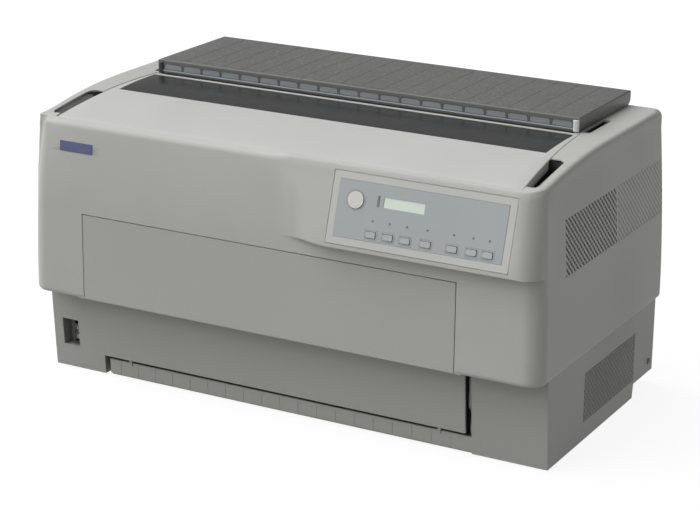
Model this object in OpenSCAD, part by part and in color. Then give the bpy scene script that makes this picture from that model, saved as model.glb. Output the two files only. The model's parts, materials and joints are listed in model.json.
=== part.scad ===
// Wide heavy-duty dot matrix printer with hinged covers.
// X runs across the machine, Y from front to back, Z up. The origin is at the middle of
// the footprint, on the table.

/* [Casing] */
// Width of the casing at its widest, low down
case_w = 700; // [696:1:704]
// Width of the casing across its top
top_w = 680; // [676:1:684]
// Depth of the casing without the control panel's bulge
case_d = 382; // [380:1:384]
// How far the control panel's bulge stands out of the front
bulge_proud = 18; // [17:0.5:18]
// Height of the seam between the lower and the upper casing
seam_z = 115; // [114:0.5:116]
// Height of the casing's front top edge
front_z = 338; // [337:0.5:339]
// Height of the casing's flat top
top_z = 359; // [358:0.5:359]
// Thickness of the moulded walls
wall = 3; // [2.8:0.1:3]
// Radius of the upright front corners
corner_r = 22; // [20:1:24]

/* [Base] */
// How far the base stays inside the upper casing on each side
base_inset = 4; // [4:0.5:5]
// How far the base's front face stands behind the casing's front
base_setback = 35; // [34:0.5:36]
// How far the base's front leans, from its top to its foot
base_lean = 9; // [8:0.5:10]
// Gap between the base and the table
foot_h = 2; // [2:0.5:3]

/* [Front opening] */
// Left edge of the front door
door_x0 = -269; // [-270:0.5:-268]
// Right edge of the front door
door_x1 = 243; // [242:0.5:244]
// Height of the front door's upper edge
door_top = 225.7; // [224:0.1:227]
// Gap round each cover
seam = 1; // [0.8:0.1:1.2]

/* [Control panel] */
// Left edge of the panel
panel_x0 = 83; // [82:1:84]
// Right edge of the panel
panel_x1 = 314; // [313:1:315]
// Height of the foot of the panel's slope
panel_foot_z = 250; // [249:0.5:251]
// Travel of the keys
key_travel = 0.8; // [0.6:0.1:1]

/* [Paper guide] */
// Height of the raised paper guide's top above the table
guide_top = 377; // [376:0.5:377]
// Half the width of the paper guide
guide_hw = 296; // [295:0.5:297]
// Number of fields on the guide's front edge
guide_fields = 20; // [18:1:22]

/* [Mechanism] */
// Radius of the platen
platen_r = 22; // [21.5:0.1:22]
// Half the length of the platen
platen_hl = 215; // [213:1:216]
// Radius of the carriage's guide shaft
shaft_r = 8; // [7.5:0.1:8]
// Distance that the print head travels
head_travel = 340; // [330:5:345]
// Tooth module of the paper feed gears
gear_m = 1.5; // [1.5:0.1:1.5]

/* [Hidden] */
$fn = 64;
eps = 0.01;

// Faces of the casing
case_f = -(case_d + bulge_proud) / 2 + bulge_proud;
case_b = case_f + case_d;
hw = case_w / 2;
top_hw = top_w / 2;
base_hw = hw - base_inset;
base_f = case_f + base_setback;
base_b = case_b - 3.5;
below = seam_z - 20;
rear_r = 10;

// Control panel slope
bulge_f = case_f - bulge_proud;
bulge_top_y = case_f + 8;
slope = atan((bulge_top_y - bulge_f) / (front_z - 1 - panel_foot_z));
slope_len = (front_z - 1 - panel_foot_z) / cos(slope);
bezel_t = 2;
ledge = 4;
overlay_t = 0.6;
overlay_in = 9;
fit = 0.25;
key_gap = 0.4;
key_size = [12, 7];
key_v = 20;
key_x = [140, 162, 184, 210, 243, 267, 287];
pause_c = [115, 57];
pause_r = 10;
key_proud = 1.2;
board_w = -10;
lcd_c = [176.5, 59];
lcd_size = [54, 14];

// Printer cover, which is hinged at its rear edge
cover_f = case_f + 16;
cover_f_hw = 314;
cover_b = case_f + 212;
cover_b_hw = 298;
rim_h = 12;
window_f = case_f + 122;
window_hw = 293;
cover_axis = [cover_b - 2.5, top_z - 3.5];
cover_pin_r = 1.6;
grip_f = case_f + 22;
grip_b = case_f + 108;

// Paper guide over the rear opening
guide_f = cover_b + 3;
guide_b = case_b - 5;
guide_axis = [guide_b - 8, top_z + 9];
guide_pin_r = 2.5;
opening_hw = 290;
opening_b = case_b - 3.7;
post_r = 4.5;
recess_f = guide_f + 6;
recess_b = guide_f + 74;
recess_w = 11;

// Badge plate
badge_x = [-303, -255];
badge_z = [303, 315.6];

// Doors that turn about a pin in their own thickness
door_t = 4;
door_pin_r = 1.4;
run = 0.05;
door_axis = [case_f + door_t / 2, seam_z + 2.5];
rear_x = 250;
rear_z0 = 150;
rear_axis = [case_b - door_t / 2, 328];
hinge_block = 8;

// Corners and front of the base
base_r = 4;
base_rear_r = 9;
left_block = door_x0 - 1;
right_block = door_x1 + 6;
lip_top = 24;
lip_foot = 4.5;
slot_h = 4.6;
post_x = [-232, 205];
post_w = 4;
panel_y = base_f - 4;

// Mechanism axes, as Y and Z
platen_c = [30, 268];
guide_c = [-35, 240];
front_c = [-125, 178];
rear_c = [143, 178];
rod_dz = -28;
frame_x = 246;
frame_t = 3;
frame_top = 305;
side_shaft_r = 5;
square = 10;
pulley_r = 20;
pulley_w = 9;
belt_t = 1.5;
belt_gap = 0.2;
gear_x = -262;
front_belt_x = -274;
rear_belt_x = -286;
platen_teeth = 48;
pinion_teeth = 16;
feed_motor_c = [platen_c[0], platen_c[1] - gear_m * (platen_teeth + pinion_teeth) / 2];

// Carriage drive
drive_y = -75;
drive_x = 225;
drive_r = 10;
drive_z = 232;
drive_h = 8;
carriage_w = 60;
home_x = -head_travel / 2;
nose_y = platen_c[0] - platen_r - 1.6;

// Tractors
tractor_x = 170;
tractor_hw = 14;
pin_wheel_r = 16;

// Side vents and the fan behind the upper one
vent_pitch = 7.5;
vent_gap = 2.6;
fan_c = [-37, 262];
fan_r = 30;
fan_h = fan_r + 3;
fan_x = 308;
fan_t = 22;

// Helpers: a box from ranges, outlines pushed along one axis, and round bars
module block(x, y, z) {
    translate([x[0], y[0], z[0]]) cube([x[1] - x[0], y[1] - y[0], z[1] - z[0]]);
}
module along_x(x0, x1) {
    translate([x0, 0, 0]) rotate([90, 0, 90]) linear_extrude(x1 - x0) children();
}
module along_y(y0, y1) {
    translate([0, y1, 0]) rotate([90, 0, 0]) linear_extrude(y1 - y0) children();
}
module along_z(z0, z1) {
    translate([0, 0, z0]) linear_extrude(z1 - z0) children();
}
module bar_x(r, x0, x1, c) {
    translate([x0, c[0], c[1]]) rotate([0, 90, 0]) cylinder(r = r, h = x1 - x0);
}
module bar_z(r, z0, z1, c) {
    translate([c[0], c[1], z0]) cylinder(r = r, h = z1 - z0);
}
module both_sides() {
    children();
    mirror([1, 0, 0]) children();
}
module rounded(size, r) {
    hull() for (x = [-1, 1], y = [-1, 1])
        translate([x * (size[0] / 2 - r), y * (size[1] / 2 - r)]) circle(r = r, $fn = 32);
}
function arc(c, r, a0, a1, n) = [for (i = [0:n])
    let (a = a0 + (a1 - a0) * i / n) [c[0] + r * cos(a), c[1] + r * sin(a)]];

// Outlines of the upper casing: from the side, from the front and from above
module side_outline() {
    polygon(concat(
        [[case_f, below], [case_f, 226], [case_f + 0.7, 256], [case_f + 2.4, 286],
         [case_f + 4.9, 312], [case_f + 7.4, front_z - 5], [case_f + 9.6, front_z + 0.6],
         [case_f + 14, front_z + 3.6]],
        [for (t = [0:6]) let (s = t / 6)
            [case_f + 14 + s * 172, front_z + 3.6 + (top_z - front_z - 3.6) * (1 - pow(1 - s, 1.9))]],
        arc([case_b - rear_r, top_z - rear_r], rear_r, 90, 0, 5),
        [[case_b, below]]));
}
module front_outline() {
    side = [[hw, below], [hw, seam_z + 20], [hw - 1, 180], [hw - 3.5, 226], [hw - 6.8, 262],
            [hw - 10.4, 300], [top_hw, 330], [top_hw - 0.6, top_z + 9]];
    polygon(concat(side, [for (i = [len(side) - 1:-1:0]) [-side[i][0], side[i][1]]]));
}
module plan_outline(inset) {
    rounded_plan(hw - inset, case_f + inset, case_b - inset, corner_r - inset, rear_r - inset);
}
// Rectangle with one radius at its front corners and another at its rear corners
module rounded_plan(w, y0, y1, rf, rb) {
    translate([-w + rf, y0]) square([2 * (w - rf), y1 - y0]);
    translate([-w, y0 + rf]) square([2 * w, y1 - y0 - rf - rb]);
    translate([-w + rb, y0 + rf]) square([2 * (w - rb), y1 - y0 - rf]);
    for (x = [-1, 1]) {
        translate([x * (w - rf), y0 + rf]) circle(r = rf);
        translate([x * (w - rb), y1 - rb]) circle(r = rb);
    }
}
module casing_form(inset) {
    intersection() {
        along_x(-hw - 1, hw + 1) offset(delta = -inset) side_outline();
        along_y(case_f - 1, case_b + 1) offset(delta = -inset) front_outline();
        along_z(below - 10, top_z + 5) plan_outline(inset);
    }
}
// A layer that follows the casing's top, from a to b below its surface
module top_layer(a, b) {
    along_x(-hw, hw) difference() {
        translate([0, -a]) side_outline();
        translate([0, -b]) side_outline();
    }
}

// Bulge of the control panel: a wedge seen from the side, faded out seen from above
module bulge(inset) {
    intersection() {
        along_x(0, hw + 1) offset(delta = -inset) polygon([
            [bulge_top_y, front_z - 1], [bulge_f, panel_foot_z], [bulge_f + 1.5, panel_foot_z - 3],
            [case_f + 20, panel_foot_z - 7], [case_f + 20, front_z - 1]]);
        along_z(panel_foot_z - 20, front_z + 5) offset(delta = -inset) polygon(concat(
            [[panel_x0 - 58, case_f + 30], [panel_x0 - 58, case_f], [panel_x0 - 30, case_f - 5],
             [panel_x0 - 8, bulge_f + 1.5], [panel_x0, bulge_f]],
            arc([306, bulge_f + 38], 38, -90, 0, 8),
            [[344, case_f + 30]]));
        along_y(bulge_f - 1, case_f + 60) offset(delta = -inset) front_outline();
    }
}
// Places children on the panel's slope: x across, y up the slope, z out of the panel
module on_panel() {
    translate([0, bulge_f, panel_foot_z]) rotate([90 - slope, 0, 0]) children();
}
module panel_plate(inset, z0, z1) {
    v0 = 3 + inset;
    v1 = slope_len - 3 - inset;
    on_panel() translate([panel_x0 + inset, v0, z0])
        cube([panel_x1 - panel_x0 - 2 * inset, v1 - v0, z1 - z0]);
}
module key_holes(gap, z0, z1) {
    for (x = key_x) on_panel() translate([x, key_v, z0])
        linear_extrude(z1 - z0) square([key_size[0] + 2 * gap, key_size[1] + 2 * gap], center = true);
    on_panel() translate([pause_c[0], pause_c[1], z0]) cylinder(r = pause_r + gap, h = z1 - z0);
}
module display_hole(gap, z0, z1) {
    on_panel() translate([lcd_c[0], lcd_c[1], (z0 + z1) / 2])
        cube([lcd_size[0] + 2 * gap, lcd_size[1] + 2 * gap, z1 - z0], center = true);
}

// Slanted slots through an upright side wall, in a field of Y and Z
module vent_slots(x, y, z, pitch, gap) {
    reach = z[1] - z[0];
    intersection() {
        block([x - 14, x + 14], y, z);
        for (s = [y[0] - reach + pitch / 2 : pitch : y[1]])
            translate([x - 15, s, z[1]]) rotate([-45, 0, 0]) translate([0, 0, -gap / 2])
                cube([30, reach * 1.5, gap]);
    }
}

// Plan of the printer cover, grown by a gap
module cover_plan(gap) {
    polygon([for (p = [[-cover_f_hw, cover_f], [cover_f_hw, cover_f], [cover_b_hw, cover_b],
        [-cover_b_hw, cover_b]])
        [p[0] + sign(p[0]) * gap, p[1] + (p[1] == cover_f ? -gap : gap)]]);
}
// Finger recess beside the printer cover, seen from above
module grip_plan(grow) {
    offset(delta = grow) polygon([
        [cover_f_hw - 2, grip_f], [cover_f_hw + 12, grip_f], [cover_f_hw + 14, grip_f + 8],
        [cover_f_hw + 12, grip_b - 8], [cover_f_hw + 8, grip_b], [cover_b_hw + 8.5, grip_b]]);
}

module upper_case() color([0.66, 0.66, 0.63]) {
    difference() {
        union() {
            difference() {
                union() {
                    intersection() {
                        casing_form(0);
                        block([-hw - 1, hw + 1], [case_f - 1, case_b + 1], [seam_z, top_z + 10]);
                    }
                    bulge(0);
                }
                difference() {
                    casing_form(wall);
                    front_flange();
                }
                bulge(wall);
                // top opening under the cover and the guide
                along_z(front_z - 30, top_z + 10) {
                    cover_plan(seam);
                    // the cover's rear edge turns into this gap
                    translate([-cover_b_hw - seam, cover_b]) square([2 * (cover_b_hw + seam), 2.3]);
                    translate([-opening_hw, cover_b]) square([2 * opening_hw, opening_b - cover_b]);
                }
                // openings for the front door and the rear cover
                block([door_x0 - seam, door_x1 + seam], [case_f - 5, case_f + 40],
                    [seam_z - 1, door_top + seam]);
                block([-rear_x - seam, rear_x + seam], [case_b - 5, case_b + 5],
                    [rear_z0 - seam, rear_axis[1] + 3]);
            }
            both_sides() {
                grip_walls();
                cover_boss();
                recess_walls();
                guide_post();
            }
            cover_ledge();
            door_blocks();
            rear_blocks();
        }
        both_sides() {
            along_z(front_z - 4, top_z + 10) grip_plan(0);
            block([guide_hw + 0.5, guide_hw + recess_w], [recess_f, recess_b], [top_z - 8, top_z + 5]);
            vent_slots(hw - 4, [case_f + 69, case_f + 221], [229, 297], vent_pitch, vent_gap);
            bar_x(cover_pin_r + run, cover_b_hw + seam, cover_b_hw + 8, cover_axis);
        }
        // the panel's insert sits on a ledge in the slope
        panel_plate(-fit, -bezel_t, 8);
        panel_plate(ledge, -14, 8);
        bar_x(door_pin_r + run, door_x0 - 6, door_x1 + 6, door_axis);
        bar_x(door_pin_r + run, -rear_x - 6, rear_x + 6, rear_axis);
        intersection() {
            badge_field(0.15);
            front_layer(-2, 1.2);
        }
    }
}
// In-turned edge that closes the overhang of the casing above the base
module front_flange() {
    for (x = [[-hw, door_x0 - seam], [door_x1 + seam, hw]])
        block(x, [case_f, base_f - 0.7], [seam_z, seam_z + 2.5]);
}
module grip_walls() {
    intersection() {
        difference() {
            along_z(front_z - 14, top_z) grip_plan(2);
            along_z(front_z - 12, top_z + 1) grip_plan(0);
            along_z(front_z - 30, top_z + 1) cover_plan(seam);
        }
        casing_form(1);
    }
}
module recess_walls() {
    block([opening_hw + 1, guide_hw + recess_w + 2], [recess_f - 2, recess_b + 2], [top_z - 10, top_z - 2]);
}
module guide_post() {
    difference() {
        union() {
            block([opening_hw - 6, opening_hw + 2], [guide_axis[0] - post_r, guide_axis[0] + post_r],
                  [top_z - 6, guide_axis[1]]);
            bar_x(post_r, opening_hw - 6, opening_hw + 2, guide_axis);
        }
        bar_x(guide_pin_r + run, opening_hw - 7, opening_hw + 3, guide_axis);
    }
}
// Boss that takes the printer cover's pin
module cover_boss() {
    block([cover_b_hw + 2.5, cover_b_hw + 8], [cover_axis[0] - 4, cover_axis[0] + 4],
        [cover_axis[1] - 4, top_z - 0.6]);
}
// Ledge on which the front edge of the printer cover rests
module cover_ledge() {
    z = front_z - rim_h + 0.3;
    block([-cover_f_hw + 14, panel_x0 - 20], [case_f + 8, cover_f + 8], [z, z + 3]);
}
module door_blocks() {
    for (x = [[door_x0 - seam - hinge_block, door_x0 - seam], [door_x1 + seam, door_x1 + seam + hinge_block]])
        block(x, [case_f + 1, case_f + 9], [seam_z, seam_z + 14]);
}
module rear_blocks() {
    for (x = [[-rear_x - seam - hinge_block, -rear_x - seam], [rear_x + seam, rear_x + seam + hinge_block]])
        block(x, [case_b - 8, case_b - 0.2], [rear_axis[1] - 8, rear_axis[1] + 6]);
}
// A layer that follows the casing's front, from a to b behind its surface
module front_layer(a, b) {
    along_x(-hw, hw) difference() {
        translate([a, 0]) side_outline();
        translate([b, 0]) side_outline();
    }
}
module badge_field(grow) {
    block([badge_x[0] - grow, badge_x[1] + grow], [case_f - 2, case_f + 12],
        [badge_z[0] - grow, badge_z[1] + grow]);
}

// Base: a tray with a leaning front, a raised rear underside and an open front between its blocks
module base_outline() {
    f1 = base_f + base_lean;
    polygon([[f1, foot_h], [case_b - 77, foot_h], [case_b - 74, 20], [base_b, 20], [base_b, seam_z + 6],
             [base_f - 0.5, seam_z + 6]]);
}
module base_form(inset) {
    intersection() {
        along_x(-base_hw + inset, base_hw - inset) offset(delta = -inset) base_outline();
        along_z(0, seam_z + 20)
            rounded_plan(base_hw - inset, base_f - 2 + inset, base_b - inset, base_r - inset,
                base_rear_r - inset);
    }
}
module lower_case() color([0.5, 0.5, 0.48]) {
    difference() {
        union() {
            difference() {
                base_form(0);
                union() {
                    base_form(wall);
                    // open top
                    block([-base_hw + wall, base_hw - wall], [base_f + wall, base_b - wall],
                        [seam_z - 10, seam_z + 10]);
                    // front opening behind the lower front panel
                    block([left_block, right_block], [base_f - 10, base_f + 30], [lip_top, seam_z + 10]);
                    block([left_block, left_block + 8], [base_f - 10, base_f + 30], [-1, lip_top + 1]);
                    block([left_block, right_block], [base_f - 10, base_f + 12], [-1, lip_foot]);
                }
            }
            // inner cheeks of the two front blocks
            for (x = [left_block - wall, right_block])
                intersection() {
                    block([x, x + wall], [base_f - 10, base_f + 60], [foot_h, seam_z - 1]);
                    base_form(0);
                }
            // lid over each front block, below the casing
            for (x = [[-base_hw + 2, left_block], [right_block, base_hw - 2]])
                block(x, [base_f + 1.5, base_f + 50], [seam_z - 4, seam_z - 1]);
            switch_walls();
            // posts on the entry lip that carry the lower front panel
            for (x = post_x) intersection() {
                leaning_slab(panel_y + wall, 5, x, x + post_w);
                block([x, x + post_w], [base_f - 10, base_f + 40], [foot_h + 10, seam_z - 6]);
            }
        }
        switch_opening();
        both_sides() vent_slots(base_hw - 2, [case_f + 146, case_f + 306], [25, 88], vent_pitch, vent_gap);
        // ribs of the entry lip, as shallow grooves
        for (x = [left_block + 24 : 26 : right_block - 10])
            along_x(x, x + 1.2)
                polygon([for (y = [-3, 0.3])
                    for (z = y < 0 ? [lip_top - 3, lip_foot - 1] : [lip_foot - 1, lip_top - 3])
                        [front_face_y(z) + y, z]]);
        feet_places() cylinder(r = 4.1, h = 20, center = true);
        inlet_opening();
        connector_opening();
        screw_places() cylinder(r = 2.1, h = 20, center = true);
    }
}
switch_x = [-334, -306];
switch_z = [30, 70];
module switch_opening() {
    block([switch_x[0] + 2, switch_x[1] - 2], [base_f - 10, base_f + 23], [switch_z[0] + 2, switch_z[1] - 2]);
}
// The recess of the power switch is a box that opens to the front
module switch_walls() {
    intersection() {
        block([switch_x[0] - 1, switch_x[1] + 1], [base_f - 5, base_f + 26],
            [switch_z[0] - 1, switch_z[1] + 1]);
        base_form(0);
    }
}
inlet_c = [300, 62];
inlet_size = [30, 24];
module inlet_opening() {
    block([inlet_c[0] - inlet_size[0] / 2, inlet_c[0] + inlet_size[0] / 2], [base_b - 8, base_b + 5],
          [inlet_c[1] - inlet_size[1] / 2, inlet_c[1] + inlet_size[1] / 2]);
}
port_x = [-333, -252];
port_z = [44, 70];
board_z = 44;
module connector_opening() {
    block(port_x, [base_b - 8, base_b + 5], port_z);
}
foot_xy = [[-310, -110], [310, -110], [-310, 95], [310, 95]];
module feet_places() {
    for (p = foot_xy) translate([p[0], p[1], foot_h]) children();
}
module rubber_feet() color([0.12, 0.12, 0.12])
    feet_places() {
        translate([0, 0, -foot_h]) cylinder(r = 11, h = foot_h);
        translate([0, 0, -eps]) cylinder(r = 4, h = wall);
    }
// Two screws in the sides of the base and two in its underside
module screw_places() both_sides() {
    translate([base_hw, 176, 34]) rotate([0, 90, 0]) children();
    translate([330, -122, foot_h]) rotate([180, 0, 0]) children();
}
module case_screws() color([0.35, 0.35, 0.35])
    screw_places() {
        translate([0, 0, -8]) cylinder(r = 2, h = 8.5);
        difference() {
            cylinder(r = 4, h = 1.8);
            translate([-0.5, -3, 1]) cube([1, 6, 2]);
            translate([-3, -0.5, 1]) cube([6, 1, 2]);
        }
    }

module badge_plate() color([0.2, 0.2, 0.35])
    intersection() {
        badge_field(0);
        front_layer(-0.5, 1.15);
    }

// Where the base's leaning front lies at a height
function front_face_y(z) = base_f + base_lean * (seam_z - z) / (seam_z - foot_h);
// Upright slab that leans as the base's front does
module leaning_slab(y, t, x0, x1) {
    lean = base_lean * (seam_z - 20) / (seam_z - foot_h);
    along_x(x0, x1) polygon([[y, seam_z], [y + t, seam_z], [y + t + lean, 20], [y + lean, 20]]);
}
module lower_front_panel() color([0.5, 0.5, 0.48])
    intersection() {
        block([left_block + 1, door_x1], [base_f - 20, base_f + 15], [lip_top + slot_h, seam_z - 2]);
        leaning_slab(panel_y, wall, -hw, hw);
    }

module front_door() color([0.58, 0.58, 0.56]) {
    c = door_axis;
    difference() {
        union() {
            block([door_x0, door_x1], [case_f, case_f + door_t], [c[1], door_top]);
            bar_x(door_t / 2, door_x0, door_x1, c);
        }
        block([door_x0 + 12, door_x1 - 12], [case_f + wall - 0.2, case_f + 10], [c[1] + 12, door_top - 10]);
    }
    for (x = [[door_x0 - 5.5, door_x0 + 1], [door_x1 - 1, door_x1 + 5.5]]) bar_x(door_pin_r, x[0], x[1], c);
}
module rear_cover() color([0.6, 0.6, 0.58]) {
    c = rear_axis;
    difference() {
        union() {
            block([-rear_x, rear_x], [case_b - door_t, case_b], [rear_z0, c[1]]);
            bar_x(door_t / 2, -rear_x, rear_x, c);
        }
        for (z = [rear_z0 + 14 : 9 : c[1] - 40])
            block([-rear_x + 30, rear_x - 30], [case_b - door_t - 1, case_b + 1], [z, z + 2.5]);
    }
    for (x = [[-rear_x - 5.5, -rear_x + 1], [rear_x - 1, rear_x + 5.5]]) bar_x(door_pin_r, x[0], x[1], c);
}

module printer_cover() color([0.78, 0.78, 0.77]) {
    difference() {
        intersection() {
            top_layer(0, rim_h);
            along_z(front_z - 20, top_z + 5) cover_plan(0);
        }
        intersection() {
            top_layer(wall, rim_h + 5);
            along_z(front_z - 40, top_z + 5) offset(delta = -wall) cover_plan(0);
        }
        // the window lies in a step of its own frame
        intersection() {
            top_layer(-1, wall - 1);
            block([-window_hw, window_hw], [window_f, cover_b + 1], [front_z, top_z + 5]);
        }
        block([-window_hw + 6, window_hw - 6], [window_f + 6, cover_b - 9], [front_z, top_z + 5]);
    }
    both_sides() {
        block([cover_b_hw - 6, cover_b_hw - 0.5], [cover_axis[0] - 4, cover_axis[0] + 2.4],
            [cover_axis[1] - 4, top_z - 2]);
        bar_x(cover_pin_r, cover_b_hw - 2, cover_b_hw + 7, cover_axis);
    }
}
module cover_window() color([0.25, 0.26, 0.26])
    intersection() {
        top_layer(0, wall - 1);
        block([-window_hw + 0.3, window_hw - 0.3], [window_f + 0.3, cover_b], [front_z, top_z + 5]);
    }

module paper_guide() color([0.4, 0.4, 0.4]) {
    t = 2.5;
    pitch = 2 * (guide_hw - 8) / guide_fields;
    difference() {
        along_x(-guide_hw, guide_hw) polygon(concat(
                [[guide_f, top_z + 0.3], [guide_f, guide_top - 4]],
                arc([guide_f + 4, guide_top - 4], 4, 180, 90, 4),
                arc([guide_b - 3, guide_top - 3], 3, 90, 0, 4),
                arc(guide_axis, guide_b - guide_axis[0], 0, -90, 6),
                [[guide_axis[0] - 6, top_z + 0.3]]));
        block([-guide_hw + t, guide_hw - t], [guide_f + t, guide_b - t], [top_z - 1, guide_top - t]);
        // shallow fields along the front edge
        for (i = [0:guide_fields - 1])
            block([-guide_hw + 9 + i * pitch, -guide_hw + 7 + (i + 1) * pitch], [guide_f - 1, guide_f + 0.8],
                  [top_z + 5, guide_top - 5]);
        // notches in the rear edge, through which it turns about its posts
        both_sides() block([opening_hw - 7, opening_hw + 3], [guide_axis[0] - post_r - 1.5, guide_b + 1],
                           [top_z - 1, guide_axis[1] + post_r + 0.8]);
    }
    // guide ribs on the underside
    for (i = [1:guide_fields - 1])
        block([-guide_hw + 8 + i * pitch - 1, -guide_hw + 8 + i * pitch + 1],
            [guide_f + 8, guide_axis[0] - 12],
              [guide_top - 7, guide_top - 2]);
    both_sides() bar_x(guide_pin_r, opening_hw - 5.5, guide_hw - 1, guide_axis);
}

// Control panel
module panel_bezel() color([0.68, 0.68, 0.66]) {
    difference() {
        panel_plate(0, -bezel_t + 0.05, 0);
        panel_plate(overlay_in, -overlay_t, 1);
        key_holes(key_gap, -5, 5);
        display_hole(0, -5, 5);
    }
}
module panel_overlay() color([0.66, 0.68, 0.69])
    difference() {
        panel_plate(overlay_in + 0.1, -overlay_t + 0.02, 0.15);
        key_holes(key_gap, -5, 5);
        display_hole(-1, -5, 5);
    }
module display_window() color([0.8, 0.87, 0.8])
    display_hole(-0.1, -4, -overlay_t);
module panel_board() color([0.12, 0.35, 0.2]) {
    on_panel() translate([panel_x0 + 10, 10, board_w - 1.6])
        cube([panel_x1 - panel_x0 - 20, slope_len - 20, 1.6]);
    on_panel() translate([lcd_c[0] - 30, lcd_c[1] - 10, board_w - 0.2]) cube([60, 20, 5]);
    for (x = [panel_x0 + 16, panel_x1 - 14], v = [34, slope_len - 16])
        on_panel() translate([x, v, board_w - 0.2]) cylinder(r = 3, h = -board_w - bezel_t + 0.24);
    for (x = key_x) on_panel() translate([x, key_v, board_w - 0.2]) cylinder(r = 3, h = 2.2);
    on_panel() translate([pause_c[0], pause_c[1], board_w - 0.2]) cylinder(r = 3, h = 2.2);
}
module key_stem() translate([0, 0, board_w + 2 + key_travel + 0.2]) cylinder(r = 2, h = -board_w - 4);
module panel_key(i) color([0.74, 0.75, 0.75])
    on_panel() translate([key_x[i], key_v, 0]) {
        translate([0, 0, -bezel_t - 0.6]) linear_extrude(bezel_t + 0.6 + key_proud) rounded(key_size, 1.5);
        translate([0, 0, -bezel_t - 1.6]) linear_extrude(1.3) square(key_size + [3, 3], center = true);
        key_stem();
    }
module pause_button() color([0.85, 0.85, 0.83])
    on_panel() translate([pause_c[0], pause_c[1], 0]) {
        translate([0, 0, -bezel_t - 0.6]) cylinder(r = pause_r, h = bezel_t + 0.6 + key_proud);
        translate([0, 0, -bezel_t - 1.6]) cylinder(r = pause_r + 1.5, h = 1.3);
        key_stem();
    }

// Power switch and inlet
rocker_c = [base_f + 18, 50];
module switch_housing() color([0.1, 0.1, 0.1])
    difference() {
        block([-321, -308.05], [base_f + 12, base_f + 22.9], [33, 67]);
        block([-319, -309.5], [base_f + 10, base_f + 21], [36, 64]);
        bar_x(1.35, -320.5, -308.5, rocker_c);
    }
module power_rocker() color([0.06, 0.06, 0.06]) {
    intersection() {
        along_x(-318.6, -309.9) polygon([
            [rocker_c[0] - 9, rocker_c[1] + 11], [rocker_c[0] - 5, rocker_c[1]],
            [rocker_c[0] - 6.5, rocker_c[1] - 11],
            [rocker_c[0] - 1.5, rocker_c[1] - 9], [rocker_c[0] + 2.4, rocker_c[1]],
            [rocker_c[0] - 1.5, rocker_c[1] + 9]]);
        block([-330, -300], [base_f, base_f + 30], [33, 67]);
    }
    bar_x(1.3, -320.2, -308.8, rocker_c);
}
module power_inlet() color([0.08, 0.08, 0.08]) {
    difference() {
        union() {
            block([inlet_c[0] - 14.8, inlet_c[0] + 14.8], [base_b - 26, base_b - 1],
                  [inlet_c[1] - 11.8, inlet_c[1] + 11.8]);
            block([inlet_c[0] - 18, inlet_c[0] + 18], [base_b - 5.5, base_b - 3.05],
                  [inlet_c[1] - 15, inlet_c[1] + 15]);
        }
        block([inlet_c[0] - 12, inlet_c[0] + 12], [base_b - 18, base_b],
            [inlet_c[1] - 8.5, inlet_c[1] + 8.5]);
    }
    for (p = [[-7, -2], [0, 2], [7, -2]])
        block([inlet_c[0] + p[0] - 1, inlet_c[0] + p[0] + 1], [base_b - 19, base_b - 9],
              [inlet_c[1] + p[1] - 2.5, inlet_c[1] + p[1] + 2.5]);
}

// Side frames carry every shaft
module frame_plate(x) {
    difference() {
        along_x(x, x + frame_t) polygon([
            [-130, 5], [118, 5], [118, 24], [162, 24], [162, 200], [70, frame_top], [-20, frame_top],
            [-60, 290], [-138, 215],
            [-138, 60], [-130, 50]]);
        bar_x(side_shaft_r + run, x - 1, x + 5, front_c);
        bar_x(side_shaft_r + run, x - 1, x + 5, rear_c);
        bar_x(shaft_r + run, x - 1, x + 5, platen_c);
        bar_x(shaft_r - 2, x - 1, x + 5, guide_c);
        for (c = [front_c, rear_c]) bar_x(3, x - 1, x + 5, [c[0], c[1] + rod_dz]);
        // windows that lighten the plate
        block([x - 1, x + 5], [-90, -30], [60, 125]);
        block([x - 1, x + 5], [20, 80], [60, 125]);
        bar_x(3.2, x - 1, x + 5, feed_motor_c);
    }
}
module left_frame() color([0.62, 0.64, 0.66]) {
    frame_plate(-frame_x);
    // tab and pin that carry the idler of the carriage belt
    block([-frame_x + 1, -drive_x + 12], [drive_y - 12, drive_y + 12], [drive_z - 9, drive_z - 6]);
    bar_z(3, drive_z - 7, drive_z + drive_h + 4, [-drive_x, drive_y]);
}
module right_frame() color([0.62, 0.64, 0.66]) frame_plate(frame_x - frame_t);
module carriage_shaft() color([0.75, 0.76, 0.78]) {
    bar_x(shaft_r, -frame_x + frame_t, frame_x - frame_t, guide_c);
    bar_x(shaft_r - 2.05, -frame_x - 3, frame_x + 3, guide_c);
}
module tractor_rods() color([0.75, 0.76, 0.78])
    for (c = [front_c, rear_c]) {
        bar_x(5, -frame_x + frame_t, frame_x - frame_t, [c[0], c[1] + rod_dz]);
        bar_x(2.95, -frame_x - 3, frame_x + 3, [c[0], c[1] + rod_dz]);
    }

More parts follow.
